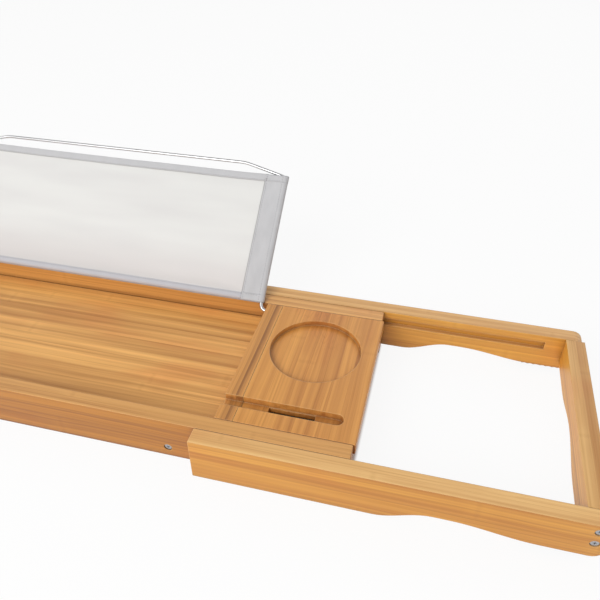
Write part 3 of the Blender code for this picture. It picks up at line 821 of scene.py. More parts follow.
def metal_material(name, colour, roughness, spread, scratch_depth):
    made, tree, shader = new_material(name)
    group = add_node(tree, "ShaderNodeGroup", node_tree=polish_group)
    feed_named(tree, group, Place=object_place(tree), Roughness=roughness, Spread=spread)
    feed_named(tree, shader, Base_Color=colour, Metallic=1.0, Roughness=group.outputs["Roughness"],
               Normal=bumped(tree, group.outputs["Height"], scratch_bump, scratch_depth))
    return made


polish_group = make_polish_group()
bright_wire = metal_material("bright_wire", on_screen(205, 205, 206), 0.36, 0.12, 0.00001)
screw_steel = metal_material("screw_steel", on_screen(176, 176, 178), 0.32, 0.22, 0.00003)
pin_names = [name for name in solids if "_guide_pin_" in name]
for name in pin_names:
    repaint(name, screw_steel)
print("metals:", bright_wire.name, screw_steel.name, "on", len(pin_names), "guide pins")

# %% [markdown]
# ## From a bmesh to a piece
#
# Every new piece ends the same way: its bmesh becomes a mesh object at the origin, it gets a material, it
# rides on the body that carries it, and the solids it stands for are hidden. The helper also recomputes
# normals, so a mirrored or spun shape isn't inside out. Sheets are left as they are, because an open sheet
# has no inside.

# %% The finishing helper
def finish_piece(shape, name, look, body, replaced=(), smooth_deg=35.0, outward=True):
    if outward:
        bmesh.ops.recalc_face_normals(shape, faces=shape.faces)
    mesh = mesh_of(shape, name)
    mesh.shade_smooth()
    mesh.set_sharp_from_angle(angle=math.radians(smooth_deg))
    piece = new_object(name, mesh)
    mesh.materials.append(look)
    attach(piece, body)
    if replaced:
        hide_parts(*replaced)
    return piece


print("finish_piece is ready")

# %% [markdown]
# ## Countersunk screws
#
# The rails are screwed to the dividers and braces, and the arms' bars to their end bars. The solid
# model has plain heads and shanks. A real screw has a cross recess for the driver and a thread, so it
# is made again: half its outline is spun into a head and shank, a small triangle is spun and lifted at
# the same time into the thread, and the tip of a driver, two thin wedges, is taken away from the head.

# %% The screw's head, shank and thread
screw_outline = [(0, 0), (0.0032, 0), (0.0035, -0.0002), (0.0035, -0.0006), (0.0019, -0.0026),
                 (0.0015, -0.0036), (0.0015, -0.0262), (0, -0.0298)]
thread_outline = [(0.0014, -0.0042), (0.0014, -0.0052), (0.00204, -0.0047)]
thread_turns = 12
thread_lift = -0.0018
spin_steps = 20
weld_distance = 0.00001
bit_size = (0.0042, 0.00078, 0.0030)
bit_taper = 0.45


def spun(shape, outline, closed, turns, lift):
    """Spin an outline given as (radius, height) pairs about Z, rising by lift with each turn."""
    corners = [shape.verts.new((radius, 0, height)) for radius, height in outline]
    pairs = list(zip(corners, corners[1:] + corners[:1])) if closed else list(zip(corners, corners[1:]))
    edges = [shape.edges.new(pair) for pair in pairs]
    whole = lift == 0
    bmesh.ops.spin(shape, geom=corners + edges, cent=(0, 0, 0), axis=(0, 0, 1),
                   dvec=(0, 0, lift / spin_steps), angle=math.tau * turns, steps=spin_steps * turns,
                   use_merge=whole, use_duplicate=False)


def screw_shape():
    shape = bmesh.new()
    spun(shape, screw_outline, False, 1, 0)
    bmesh.ops.remove_doubles(shape, verts=shape.verts, dist=weld_distance)
    spun(shape, thread_outline, True, thread_turns, thread_lift)
    open_rims = [edge for edge in shape.edges if edge.is_boundary]
    bmesh.ops.holes_fill(shape, edges=open_rims, sides=4)
    bmesh.ops.recalc_face_normals(shape, faces=shape.faces)
    return shape


def bit_blade(turn_deg):
    """One of the two wedges of a cross driver's tip."""
    shape = bmesh.new()
    bmesh.ops.create_cube(shape, size=1)
    bmesh.ops.scale(shape, vec=bit_size, verts=shape.verts)
    tip = [vertex for vertex in shape.verts if vertex.co.z < 0]
    bmesh.ops.scale(shape, vec=(bit_taper, bit_taper, 1), verts=tip)
    bmesh.ops.rotate(shape, cent=(0, 0, 0), matrix=Matrix.Rotation(math.radians(turn_deg), 3, "Z"),
                     verts=shape.verts)
    return shape


def recessed_screw_mesh():
    screw = new_object("screw_pattern", mesh_of(screw_shape(), "screw_pattern"))
    blades = [new_object("blade_" + str(turn), mesh_of(bit_blade(turn), "blade")) for turn in (0, 90)]
    for blade in blades:
        pressed = screw.modifiers.new("recess", "BOOLEAN")
        pressed.operation = "DIFFERENCE"
        pressed.object = blade
    bpy.context.view_layer.update()
    finished = screw.evaluated_get(bpy.context.evaluated_depsgraph_get())
    mesh = bpy.data.meshes.new_from_object(finished)
    for item in (screw, *blades):
        bpy.data.objects.remove(item, do_unlink=True)
    return mesh


screw_pattern = recessed_screw_mesh()
print("one screw has", len(screw_pattern.polygons), "faces")

# %% [markdown]
# The pattern is put where each plain screw sits. A screw's name says which board it is in: those of the
# rear rail and the rear bars have their heads at the far side and point towards the bather, and the
# others the other way. Each one is turned a little about its own axis, because no driver stops at the
# same angle twice.

# %% Put the screws in place
screw_turn_step = 0.61


def place_screws():
    names = sorted(name for name in solids if "_screw_" in name)
    for number, name in enumerate(names):
        low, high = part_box(name)
        rear = name.startswith("rear_rail") or "_rear_screw_" in name
        head = Vector(((low.x + high.x) / 2, high.y if rear else low.y, (low.z + high.z) / 2))
        tilt = Matrix.Rotation(math.radians(-90 if rear else 90), 4, "X")
        own_turn = Matrix.Rotation(number * screw_turn_step, 4, "Z")
        shape = bmesh.new()
        shape.from_mesh(screw_pattern)
        bmesh.ops.transform(shape, matrix=Matrix.Translation(head) @ tilt @ own_turn, verts=shape.verts)
        finish_piece(shape, "cross_" + name, screw_steel, solids[name]["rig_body"], (name,), 30.0)
    return len(names)


print("screws placed:", place_screws())

# %% [markdown]
# ## Rubber pads
#
# A strip of rubber under each arm's foot grips the rim of the bath. The real strip has ribs across it.
# The block is sliced across at even steps, and every second line of its underside is lifted, which
# gives a row of soft ridges. A bevel takes the sharpness off.

# %% The grip pads
rib_count = 12
rib_rise = 0.0007
pad_bevel = 0.00035
sharp_angle = 0.3
dust_scale = (160, 160, 160)
dust_step = (0.45, 0.75)
dust_roughness = 0.25
clean_roughness = 0.6
rubber_tones = (on_screen(46, 45, 44), on_screen(70, 68, 65))
speckle_scale = (2200, 2200, 2200)
speckle_bump = 0.5
speckle_depth = 0.00005


def make_rubber():
    made, tree, shader = new_material("grip_rubber")
    place = object_place(tree)
    dust = scaled_noise(tree, place, dust_scale, 3.0)
    feed_named(tree, shader, Base_Color=mix_colours(tree, smooth_step(tree, dust, *dust_step), *rubber_tones),
               Roughness=add_part(tree, clean_roughness, dust, dust_roughness),
               Normal=bumped(tree, scaled_noise(tree, place, speckle_scale), speckle_bump, speckle_depth))
    return made


def ribbed_pad(name):
    low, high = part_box(name)
    size = high - low
    shape = bmesh.new()
    bmesh.ops.create_cube(shape, size=1)
    bmesh.ops.scale(shape, vec=size, verts=shape.verts)
    step = size.x / rib_count
    for number in range(1, rib_count):
        geometry = shape.verts[:] + shape.edges[:] + shape.faces[:]
        bmesh.ops.bisect_plane(shape, geom=geometry, plane_co=(number * step - size.x / 2, 0, 0),
                               plane_no=(1, 0, 0))
    lifted = [vertex for vertex in shape.verts
              if vertex.co.z < 0 and round((vertex.co.x + size.x / 2) / step) % 2 == 1]
    bmesh.ops.translate(shape, vec=(0, 0, rib_rise), verts=lifted)
    sharp = [edge for edge in shape.edges if edge.calc_face_angle(0) > sharp_angle]
    bmesh.ops.bevel(shape, geom=sharp, offset=pad_bevel, offset_type="OFFSET", segments=2, profile=0.5,
                    affect="EDGES", material=-1, clamp_overlap=True)
    bmesh.ops.translate(shape, vec=(low + high) / 2, verts=shape.verts)
    return shape


grip_rubber = make_rubber()
pad_names = sorted(name for name in solids if name.endswith("_pad"))
for name in pad_names:
    finish_piece(ribbed_pad(name), name + "_ribbed", grip_rubber, solids[name]["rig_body"], (name,))
print("ribbed pads:", len(pad_names))

# %% [markdown]
# ## The rack's own frame
#
# The rack leans back on its hinge. It is far easier to model it lying flat, with x along the hinge, y
# up the rack and z out of its front, and to turn the finished mesh into place. This is the same lean
# and the same hinge line as in the solid model, so the pieces land where the solids are.

# %% The rack's place
hinge_place = Vector((0.021, 0.0745, 0.0405))
rack_lean_deg = 49.0
rack_place = Matrix.Translation(hinge_place) @ Matrix.Rotation(math.radians(90 - rack_lean_deg), 4, "X")
side_wire_x = 0.19915
cover_half_width = 0.2018
cover_low = 0.0076
cover_high = 0.1502
lower_bar_y = 0.01025


def finish_on_rack(shape, name, look, replaced, smooth_deg):
    """Turn a shape that was made on the flat rack into its place, and finish it."""
    bmesh.ops.transform(shape, matrix=rack_place, verts=shape.verts)
    return finish_piece(shape, name, look, "rack", replaced, smooth_deg)


print("top of the rack in the room:", [round(value, 4) for value in rack_place @ Vector((0, cover_high, 0))])

# %% [markdown]
# ## Bent wire
#
# The frame is one rod of bright steel: a pin in each divider, two sides, and a crown that stands up
# above the sleeve. A rod is a circle swept along a path. The path is written as corners, each corner is
# rounded with a few points on a quadratic curve, and the circle is extruded from point to point and
# turned to stay square to the path.

# %% Sweep a rod along a path
bend_steps = 10
rod_sides = 20


def rounded_path(corners, lengths):
    """The corners of a path, each rounded off from a length before it to a length after it."""
    points = [Vector(corners[0])]
    for before, corner, after, length in zip(corners, corners[1:], corners[2:], lengths):
        before, corner, after = Vector(before), Vector(corner), Vector(after)
        start = corner + (before - corner).normalized() * length
        end = corner + (after - corner).normalized() * length
        for step in range(bend_steps + 1):
            share = step / bend_steps
            points.append(start.lerp(corner, share).lerp(corner.lerp(end, share), share))
    return points + [Vector(corners[-1])]


def ring_place(points, index):
    """Where a circle in its own XY plane stands square to the path at one of its points."""
    before = points[max(index - 1, 0)]
    after = points[min(index + 1, len(points) - 1)]
    along = (after - before).normalized()
    side = Vector((0, 0, 1)).cross(along).normalized()
    turn = Matrix((side, along.cross(side), along)).transposed().to_4x4()
    return Matrix.Translation(points[index]) @ turn


def rod_along(points, radius):
    shape = bmesh.new()
    bmesh.ops.create_circle(shape, segments=rod_sides, radius=radius)
    first_ring = loop = shape.edges[:]
    placed = ring_place(points, 0)
    bmesh.ops.transform(shape, matrix=placed, verts=shape.verts)
    for index in range(1, len(points)):
        made = bmesh.ops.extrude_edge_only(shape, edges=loop)["geom"]
        ring = [item for item in made if isinstance(item, bmesh.types.BMVert)]
        members = set(ring)
        loop = [item for item in made if isinstance(item, bmesh.types.BMEdge)
                and item.verts[0] in members and item.verts[1] in members]
        there = ring_place(points, index)
        bmesh.ops.transform(shape, matrix=there @ placed.inverted(), verts=ring)
        placed = there
    for rim in (first_ring, loop):
        bmesh.ops.contextual_create(shape, geom=rim)
    return shape


print("rods are swept with", rod_sides, "sides")

# %% [markdown]
# The corners repeat the solid's path, only the foot below the sleeve is bent more tightly, as in the
# picture: the wire leaves the sleeve, goes down nearly to the hinge line, and curls outwards like a J
# into the divider.

# %% The rack's wire and lower bar
wire_radius = 0.00175
lower_bar_radius = 0.0015
lower_bar_gap = 0.0003
hinge_half_span = 0.206
pin_reach = 0.008
foot_x = 0.2019
foot_y = -0.0002
shin_share = 0.8
crown_rise = 0.0113
crown_angle_deg = 14.0
crown_drop = 0.0009
bend_lengths = [0.0038, 0.0022, 0.006, 0.006]
wire_smooth_deg = 50.0


def wire_corners():
    crown_run = (crown_rise + crown_drop) / math.tan(math.radians(crown_angle_deg))
    half = [(hinge_half_span + pin_reach, 0, 0),
            (foot_x, foot_y, 0),
            (side_wire_x, cover_low * shin_share, 0),
            (side_wire_x, cover_high - crown_drop, 0),
            (side_wire_x - crown_run, cover_high + crown_rise, 0)]
    return half + [(-x, y, z) for x, y, z in reversed(half)]


def make_wire():
    path = rounded_path(wire_corners(), bend_lengths + bend_lengths[::-1])
    return finish_on_rack(rod_along(path, wire_radius), "bent_wire", bright_wire, ("rack_wire",),
                          wire_smooth_deg)


def make_lower_bar():
    reach = side_wire_x - wire_radius - lower_bar_gap
    path = [Vector((-reach, lower_bar_y, 0)), Vector((reach, lower_bar_y, 0))]
    return finish_on_rack(rod_along(path, lower_bar_radius), "hem_bar", bright_wire,
                          ("rack_lower_bar",), wire_smooth_deg)


bent_wire = make_wire()
hem_bar = make_lower_bar()
print("wire:", len(bent_wire.data.polygons), "faces; hem bar:", len(hem_bar.data.polygons), "faces")

# %% [markdown]
# ## Cloth and film
#
# The sleeve is a coated cloth with a fine plain weave. Its pattern has to follow the cloth round the
# wire, so it reads a UV map that is measured in metres of flat cloth, and not the place in space. One
# thread goes over the other wherever the product of the two threads' waves is positive. Slubs, the
# thicker places of a thread, make the tone a little uneven.

# %% The weave group
thread_crossing = 0.15
slub_scale = (90, 34, 1)
fuzz_scale = (1400, 1400, 1)
cloth_middle = 0.95
thread_crest_shading = 0.07
fuzz_contrast = 0.05
cloth_roughness = 0.52
slub_roughness = 0.2


def make_weave_group():
    tree, given, result = new_group("plain_weave", {"Vector": ["Flat"], "Float": ["Pitch", "Mottle"],
                                                    "Color": ["Tone"]},
                                    {"Color": ["Color"], "Float": ["Roughness", "Height"]})
    turns = [calculate(tree, "DIVIDE", axis, given["Pitch"]) for axis in split(tree, given["Flat"])[:2]]
    waves = [calculate(tree, "SINE", times(tree, turn, math.pi)) for turn in turns]
    over = smooth_step(tree, times(tree, *waves), -thread_crossing, thread_crossing)
    mixed = add_node(tree, "ShaderNodeMix", data_type="FLOAT")
    feed(tree, mixed.inputs["Factor"], over)
    feed(tree, mixed.inputs[2], unsigned(tree, waves[0]))
    feed(tree, mixed.inputs[3], unsigned(tree, waves[1]))
    height = mixed.outputs[0]
    slub = scaled_noise(tree, given["Flat"], slub_scale, 3.0)
    fuzz = scaled_noise(tree, given["Flat"], fuzz_scale, 1.0)
    tone = add_part(tree, cloth_middle, from_half(tree, slub), given["Mottle"])
    # The crests of the threads are painted a little lighter, as shading of the weave.
    tone = add_part(tree, tone, height, thread_crest_shading)
    tone = add_part(tree, tone, from_half(tree, fuzz), fuzz_contrast)
    grey = joined(tree, tone, tone, tone, kind="ShaderNodeCombineColor")
    feed(tree, result["Color"], mix_colours(tree, 1.0, given["Tone"], grey, "MULTIPLY"))
    feed(tree, result["Roughness"], add_part(tree, cloth_roughness, slub, slub_roughness))
    feed(tree, result["Height"], height)
    return tree


weave_group = make_weave_group()
print("weave group with", len(weave_group.nodes), "nodes")

# %% [markdown]
# Shade is painted into the cloth where two layers meet, and as dark lines along the hem seams and along the
# fold round the wire. These lines are straight across the flat cloth, so they are drawn in the same flat
# metres as the weave.

# %% Cloth materials
thread_pitch = 0.00062
weave_bump = 0.45
weave_depth = 0.00006
cloth_sheen = 0.15
cloth_grey = on_screen(198, 198, 200)
hem_grey = on_screen(195, 194, 199)
stitch_grey = on_screen(178, 178, 182)
seam_shade = on_screen(104, 104, 106)
cloth_crease_shade_amount = 0.5
cloth_crease_reach = 0.004
cloth_crease_step = (0.35, 0.95)
fold_round_wire_u = side_wire_x + 0.0064
hem_line_inset = 0.0076
# Lines of painted shade: the fold round the wire, and the steps of the two hems.
sleeve_shade_lines = ((0, fold_round_wire_u, 0.0013, 0.12), (1, cover_high - hem_line_inset, 0.0004, 0.22),
                (1, cover_low + hem_line_inset, 0.0004, 0.16))


def flat_place(tree):
    return add_node(tree, "ShaderNodeUVMap", uv_map="flat_cloth").outputs[0]


def painted_shade_lines(tree, flat, lines):
    """Soft lines of painted shade across a flat cloth; each row is (axis, place, half width, darkness)."""
    parts = split(tree, flat)
    from_middle = (unsigned(tree, parts[0]), parts[1])
    total = 0.0
    for axis, place, half_width, darkness in lines:
        off = unsigned(tree, calculate(tree, "SUBTRACT", from_middle[axis], place))
        line = times(tree, fade_out(tree, off, half_width, 2 * half_width), darkness)
        total = calculate(tree, "MAXIMUM", line, total)
    return total


def cloth_material(name, tone, mottle, lines=()):
    made, tree, shader = new_material(name)
    flat = flat_place(tree)
    group = add_node(tree, "ShaderNodeGroup", node_tree=weave_group)
    feed_named(tree, group, Flat=flat, Pitch=thread_pitch, Tone=tone, Mottle=mottle)
    colour = mix_colours(tree, painted_shade_lines(tree, flat, lines), group.outputs["Color"], seam_shade)
    # Painted shade where another layer is close.
    colour = with_crease_shade(tree, colour, cloth_crease_shade_amount, cloth_crease_reach, cloth_crease_step, seam_shade)
    feed_named(tree, shader, Base_Color=colour, Roughness=group.outputs["Roughness"],
               Sheen_Weight=cloth_sheen,
               Normal=bumped(tree, group.outputs["Height"], weave_bump, weave_depth))
    return made


sleeve_cloth = cloth_material("sleeve_cloth", cloth_grey, 0.30, sleeve_shade_lines)
band_cloth = cloth_material("band_cloth", cloth_grey, 0.12)
hem_cloth = cloth_material("hem_cloth", hem_grey, 0.10)
stitch_thread = cloth_material("stitch_thread", stitch_grey, 0.0)
print("cloths:", sleeve_cloth.name, band_cloth.name, hem_cloth.name, stitch_thread.name)

# %% [markdown]
# The window is a frosted film: smooth, a little wavy, and slightly uneven in tone. Its colour has painted
# shade: darker low down, where the tray throws less light back at it, and along its seams at the sides, as
# the shadow of the borders' edges.

# %% The film's material
film_seam_x = cover_half_width - 0.025
film_seam_shadow = (0, film_seam_x, 0.0006, 0.55)
film_tones = (on_screen(232, 232, 229), on_screen(225, 224, 222))
film_tone_step = (0.3, 0.7)
film_low_shade = on_screen(212, 206, 204)
film_low_step = (0.014, 0.070)
film_low_amount = 0.75
film_crease_shade_amount = 0.4
film_crease_reach = 0.003
frost_scale = (900, 900, 1)
film_cloud_scale = (5, 30, 1)
film_wave_scale = (30, 18, 1)
film_roughness = 0.30
frost_roughness = 0.12
frost_height = 0.04
film_bump = 0.35
film_wave_depth = 0.0012


def film_material():
    made, tree, shader = new_material("frosted_film")
    flat = flat_place(tree)
    frost = scaled_noise(tree, flat, frost_scale)
    wave = scaled_noise(tree, flat, film_wave_scale, 1.0)
    cloud = smooth_step(tree, scaled_noise(tree, flat, film_cloud_scale), *film_tone_step)
    # Painted shade low down, a painted shadow along the seams, and painted shade in the creases.
    low = fade_out(tree, split(tree, flat)[1], *film_low_step, film_low_amount)
    shade = mix_colours(tree, low, mix_colours(tree, cloud, *film_tones), film_low_shade)
    shade = mix_colours(tree, painted_shade_lines(tree, flat, (film_seam_shadow,)), shade, seam_shade)
    shade = with_crease_shade(tree, shade, film_crease_shade_amount, film_crease_reach, cloth_crease_step, seam_shade)
    height = add_part(tree, wave, frost, frost_height)
    feed_named(tree, shader, Base_Color=shade,
               Roughness=add_part(tree, film_roughness, frost, frost_roughness),
               Normal=bumped(tree, height, film_bump, film_wave_depth))
    return made


frosted_film = film_material()
print("film:", frosted_film.name)

# %% [markdown]
# ## A sheet from a grid
#
# Each cloth piece starts as a flat grid with its columns and rows where the detail is needed: close
# together round the wire and at the hems, far apart on the flats. The flat place of each point becomes
# its UV, so the weave is never stretched. Then a shape function says where that point of the cloth lies
# on the rack. A Solidify modifier gives the cloth its thickness.

# %% The sheet helper
sheet_smooth_deg = 60.0


def steps_between(*stops):
    """Places from stop to stop; each row is (start, end, number of steps)."""
    places = []
    for start, end, count in stops:
        places += [start + (end - start) * step / count for step in range(count)]
    return places + [stops[-1][1]]


def cloth_sheet(name, columns, rows, lie, thickness, look, replaced=()):
    across, up = len(columns) - 1, len(rows) - 1
    shape = bmesh.new()
    bmesh.ops.create_grid(shape, x_segments=across, y_segments=up, size=1)
    flat = shape.loops.layers.uv.new("flat_cloth")
    places = {}
    for vertex in shape.verts:
        column = round((vertex.co.x + 1) / 2 * across)
        row = round((vertex.co.y + 1) / 2 * up)
        places[vertex] = (columns[column], rows[row])
    for face in shape.faces:
        for loop in face.loops:
            loop[flat].uv = places[loop.vert]
    for vertex, (u, v) in places.items():
        vertex.co = rack_place @ Vector(lie(u, v))
    piece = finish_piece(shape, name, look, "rack", replaced, sheet_smooth_deg, outward=False)
    wall = piece.modifiers.new("cloth thickness", "SOLIDIFY")
    wall.thickness = thickness
    wall.offset = 0
    return piece


print("sheets are made from grids")

# %% [markdown]
# ## How the sleeve lies
#
# The sleeve is pulled tight between the side wires, so front and back come close together in the
# middle and open out round the wires and round the bar in the lower hem. A cloth under tension isn't
# quite flat either: it has long, shallow ripples that run from wire to wire. A smooth noise adds them.

# %% Shape of the tight cloth
sleeve_radius = 0.00240
middle_gap = 0.00115
wire_pull = 0.030
bar_pull = 0.0075
bar_gap = 0.00245
top_wave = 0.0006
top_wave_rate = 11
top_wave_seed = 3.7
top_sag = 0.0014


def half_gap(x, y):
    """Half the distance between the sleeve's front and back at a place on the rack."""
    to_wire = (side_wire_x - abs(x)) / wire_pull
    to_bar = (y - lower_bar_y) / bar_pull
    from_wire = middle_gap + (sleeve_radius - middle_gap) * math.exp(-to_wire * to_wire)
    from_bar = middle_gap + (bar_gap - middle_gap) * math.exp(-to_bar * to_bar)
    return max(from_wire, from_bar)


def ripple(x, y, across_rate, up_rate, height, seed):
    return height * noise.noise(Vector((x * across_rate, y * up_rate, seed)))


def edge_wave(x, y):
    """How far the sleeve's top edge waves, and how far it sags between the side wires."""
    share = (y - cover_low) / (cover_high - cover_low)
    sag = top_sag * (1 - (x / cover_half_width) ** 2)
    wave = top_wave * noise.noise(Vector((x * top_wave_rate, top_wave_seed, 0)))
    return (wave - sag) * share ** 3


print("half gap at the wire", sleeve_radius, "and in the middle", middle_gap)

# %% [markdown]
# ## The sleeve
#
# One piece of cloth makes the front's left border, goes round the left wire, across the back, round the
# right wire and ends as the front's right border. `u` is measured along that cloth from the middle of
# the back. Near its top and bottom the cloth is folded over, which makes it a little thicker there.

# %% How the sleeve's cloth lies
border_width = 0.025
border_inner_x = cover_half_width - border_width
border_lift = 0.00015
border_calm = 0.006
border_ripple = (75, 42, 0.00075, 1.3)
back_ripple = (9, 30, 0.0006, 5.1)
wrap_length = math.pi * sleeve_radius
back_reach = side_wire_x
front_reach = back_reach + wrap_length + side_wire_x - border_inner_x
hem_fold = 0.0075
hem_ramp = 0.0007
hem_extra = 0.00022
cloth_thickness = 0.0006


def hem_step(y):
    """Extra height of the folded hems at the top and the bottom."""
    to_edge = min(y - cover_low, cover_high - y)
    share = min(max((hem_fold - to_edge) / hem_ramp + 0.5, 0), 1)
    return hem_extra * share


def lie_of_sleeve(u, v):
    side = 1 if u >= 0 else -1
    along = abs(u)
    gap_step = hem_step(v)
    if along <= back_reach:
        x = along
        z = -half_gap(x, v) - gap_step + ripple(side * x, v, *back_ripple)
    elif along <= back_reach + wrap_length:
        angle = (along - back_reach) / sleeve_radius - math.pi / 2
        x = side_wire_x + (sleeve_radius + gap_step) * math.cos(angle)
        z = (half_gap(side_wire_x, v) + gap_step) * math.sin(angle)
    else:
        x = side_wire_x - (along - back_reach - wrap_length)
        z = half_gap(x, v) + gap_step + border_lift
        z += ripple(side * x, v, *border_ripple) * min((side_wire_x - x) / border_calm, 1)
    return side * x, v + edge_wave(side * x, v), z


print("the sleeve's cloth goes", round(wrap_length * 1000, 1), "mm round each wire")

# %% [markdown]
# The grid is fine round the wires and where the hems step up, and coarse between. The two halves of the
# columns are the same, mirrored.

# %% The sleeve's sheet
near_wire = 0.02


def make_sleeve():
    wrapped = back_reach + wrap_length
    half = steps_between((0, back_reach - near_wire, 44), (back_reach - near_wire, back_reach, 9),
                         (back_reach, wrapped, 12), (wrapped, front_reach, 22))
    columns = [-place for place in reversed(half[1:])] + half
    low_step, high_step = cover_low + hem_fold, cover_high - hem_fold
    rows = steps_between((cover_low, low_step - hem_ramp, 5), (low_step - hem_ramp, low_step + hem_ramp, 3),
                         (low_step + hem_ramp, high_step - hem_ramp, 40),
                         (high_step - hem_ramp, high_step + hem_ramp, 3),
                         (high_step + hem_ramp, cover_high, 5))
    return cloth_sheet("sleeve", columns, rows, lie_of_sleeve, cloth_thickness, sleeve_cloth,
                       ("rack_cover",))


sleeve = make_sleeve()

# %% [markdown]
# ## The window
#
# The film is sewn behind the borders, so it runs a few millimetres under them. It is stiffer than the
# cloth, and stays in long shallow waves, which die out towards its seams.

# %% The film
film_reach = border_inner_x + 0.0035
film_low = 0.0130
film_high = 0.1462
film_thickness = 0.00025
film_depth = 0.00052
film_calm = 0.02
film_ripple = (16, 11, 0.00075, 2.2)


def lie_of_film(u, v):
    calm = min((film_reach - abs(u)) / film_calm, 1) * min((film_high - v) / film_calm, 1)
    z = half_gap(u, v) - film_depth + ripple(u, v, *film_ripple) * max(calm, 0)
    return u, v + edge_wave(u, v), z


film = cloth_sheet("window_film_sheet", steps_between((-film_reach, film_reach, 96)),
                   steps_between((film_low, film_high, 40)), lie_of_film, film_thickness, frosted_film,
                   ("rack_window",))

# %% [markdown]
# ## Top and bottom bands
#
# A band is a strip folded over an edge. The top one closes the film's upper edge. The bottom one goes
# round the hem bar, which is why it is rounder. For both, `v` runs along the strip's width: from the
# front flap's edge, over the fold, to the end of the flap inside.

# %% How the bands lie
band_reach = border_inner_x + 0.0018
band_thickness = 0.0005
band_lift = 0.00012
top_flap = 0.0077
top_fold_radius = 0.00050
top_fold = math.pi * top_fold_radius
top_band_ripple = (60, 90, 0.00035, 8.4)
bottom_flap = 0.00475
bar_fold_radius = 0.00200
bar_fold_turn = 1.15 * math.pi
bottom_fold = bar_fold_turn * bar_fold_radius
bottom_tuck = 0.0004
bottom_rise = 0.0003
bottom_rise_run = 0.001
bottom_band_ripple = (50, 60, 0.00022, 6.6)


def lie_of_top_band(u, v):
    """v is measured from the front flap's lower edge."""
    front_z = half_gap(u, cover_high) + band_lift
    beyond = v - top_flap - top_fold
    if v <= top_flap:
        y, z = cover_high - top_flap + v, front_z
    elif beyond <= 0:
        angle = (v - top_flap) / top_fold_radius
        y = cover_high + top_fold_radius * math.sin(angle)
        z = front_z - top_fold_radius * (1 - math.cos(angle))
    else:
        y, z = cover_high - beyond, front_z - 2 * top_fold_radius
    if v < top_flap + top_fold:
        z += ripple(u, y, *top_band_ripple)
    return u, y + edge_wave(u, cover_high), z


def lie_of_bottom_band(u, v):
    """v is measured from the front flap's upper edge."""
    beyond = v - bottom_flap - bottom_fold
    if v <= bottom_flap:
        y = lower_bar_y + bottom_flap - v
        tucked = half_gap(u, y) - bottom_tuck
        z = max(bar_fold_radius, tucked + band_lift, tucked + bottom_rise * min(v / bottom_rise_run, 1))
    else:
        angle = min((v - bottom_flap) / bar_fold_radius, bar_fold_turn)
        y = lower_bar_y - bar_fold_radius * math.sin(angle) + max(beyond, 0)
        z = bar_fold_radius * math.cos(angle)
    return u, y, z + ripple(u, y, *bottom_band_ripple)


print("folds of the bands:", round(top_fold * 1000, 2), "and", round(bottom_fold * 1000, 2), "mm of cloth")

# %% [markdown]
# Both bands have the same columns. Their rows are close together in the fold, where the strip bends
# most, and end with the flap that lies hidden inside.

# %% The bands
top_inner_flap = 0.0062
bottom_inner_flap = 0.003


def make_band(name, flap, flap_steps, fold, fold_steps, inner, inner_steps, lie, look):
    """A folded band, and the size it is cut to."""
    length = flap + fold + inner
    rows = steps_between((0, flap, flap_steps), (flap, flap + fold, fold_steps),
                         (flap + fold, length, inner_steps))
    columns = steps_between((-band_reach, band_reach, 110))
    band = cloth_sheet(name, columns, rows, lie, band_thickness, look)
    return band, (2 * band_reach, length)


top_band, top_band_flat = make_band("top_band", top_flap, 7, top_fold, 6, top_inner_flap, 4,
                                    lie_of_top_band, band_cloth)
bottom_band, bottom_band_flat = make_band("bottom_band", bottom_flap, 8, bottom_fold, 12,
                                          bottom_inner_flap, 3, lie_of_bottom_band, hem_cloth)
print("bands cut", [round(value, 4) for value in top_band_flat + bottom_band_flat], "m")

# %% [markdown]
# ## Stitching
#
# A sewn seam is a row of short stitches, each a small dimple of thread. One stitch is a flattened ball
# with a few faces, and it is repeated along each seam 2.8 mm apart. All of them are one piece, laid on
# the cloth by the same shape functions.

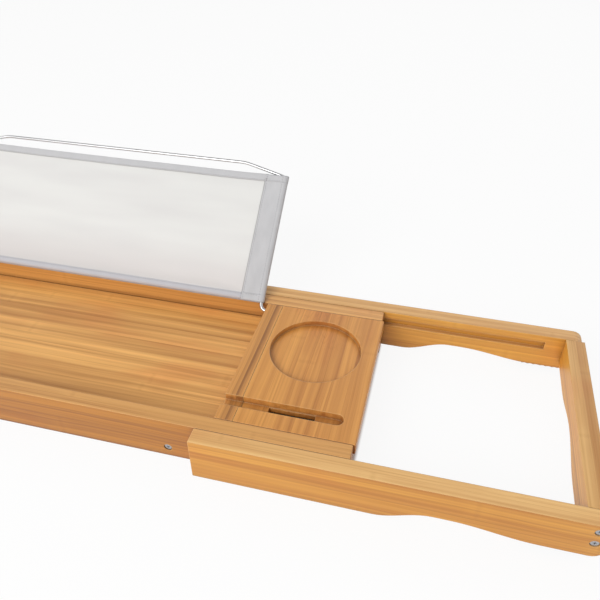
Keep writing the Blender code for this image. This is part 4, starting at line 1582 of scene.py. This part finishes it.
# %% The stitches
stitch_pitch = 0.0028
stitch_size = (0.0021, 0.00042, 0.00042)
stitch_lift = 0.00034
look_ahead = 0.25
inner_seam_u = front_reach - 0.0016
outer_seam_u = back_reach + wrap_length + 0.0030
hem_seam_inset = 0.0010
seam_end = 0.001
hem_seam_end = 0.002
band_seam_v = 0.0012
out_of_rack = Vector((0, 0, 1))


def add_stitch(shape, place, along):
    made = bmesh.ops.create_uvsphere(shape, u_segments=6, v_segments=5, radius=0.5)["verts"]
    turn = Matrix((along, out_of_rack.cross(along).normalized(), out_of_rack)).transposed().to_4x4()
    size = Matrix.Diagonal((*stitch_size, 1))
    bmesh.ops.transform(shape, matrix=Matrix.Translation(place) @ turn @ size, verts=made)


def stitch_line(shape, point_at, start, end):
    """A row of stitches from start to end, along a line of the cloth given by point_at."""
    count = round(abs(end - start) / stitch_pitch)
    step = (end - start) / count
    for number in range(count):
        value = start + (end - start) * (number + 0.5) / count
        here, there = Vector(point_at(value)), Vector(point_at(value + step * look_ahead))
        add_stitch(shape, here + stitch_lift * out_of_rack, (there - here).normalized())


def make_stitches():
    shape = bmesh.new()
    top_line = cover_high - hem_fold + hem_seam_inset
    bottom_line = cover_low + hem_fold - hem_seam_inset
    for side in (-1, 1):
        for line_u in (inner_seam_u, outer_seam_u):
            stitch_line(shape, lambda v, u=side * line_u: lie_of_sleeve(u, v), cover_low + seam_end,
                        cover_high - seam_end)
        for line_v in (top_line, bottom_line):
            stitch_line(shape, lambda u, v=line_v: lie_of_sleeve(u, v), side * (outer_seam_u + hem_seam_end),
                        side * (inner_seam_u - hem_seam_end))
    for lie in (lie_of_top_band, lie_of_bottom_band):
        stitch_line(shape, lambda u, lie=lie: lie(u, band_seam_v), -border_inner_x, border_inner_x)
    shape.loops.layers.uv.new("flat_cloth")
    return finish_on_rack(shape, "sleeve_stitching", stitch_thread, (), 80.0)


stitching = make_stitches()
print("stitches:", len(stitching.data.polygons), "faces")

# %% [markdown]
# ## The cloth pieces
#
# The sleeve, the film and the two bands are sheets on the rack. The stitching goes with the sleeve.

print("four cloth sheets on the rack")
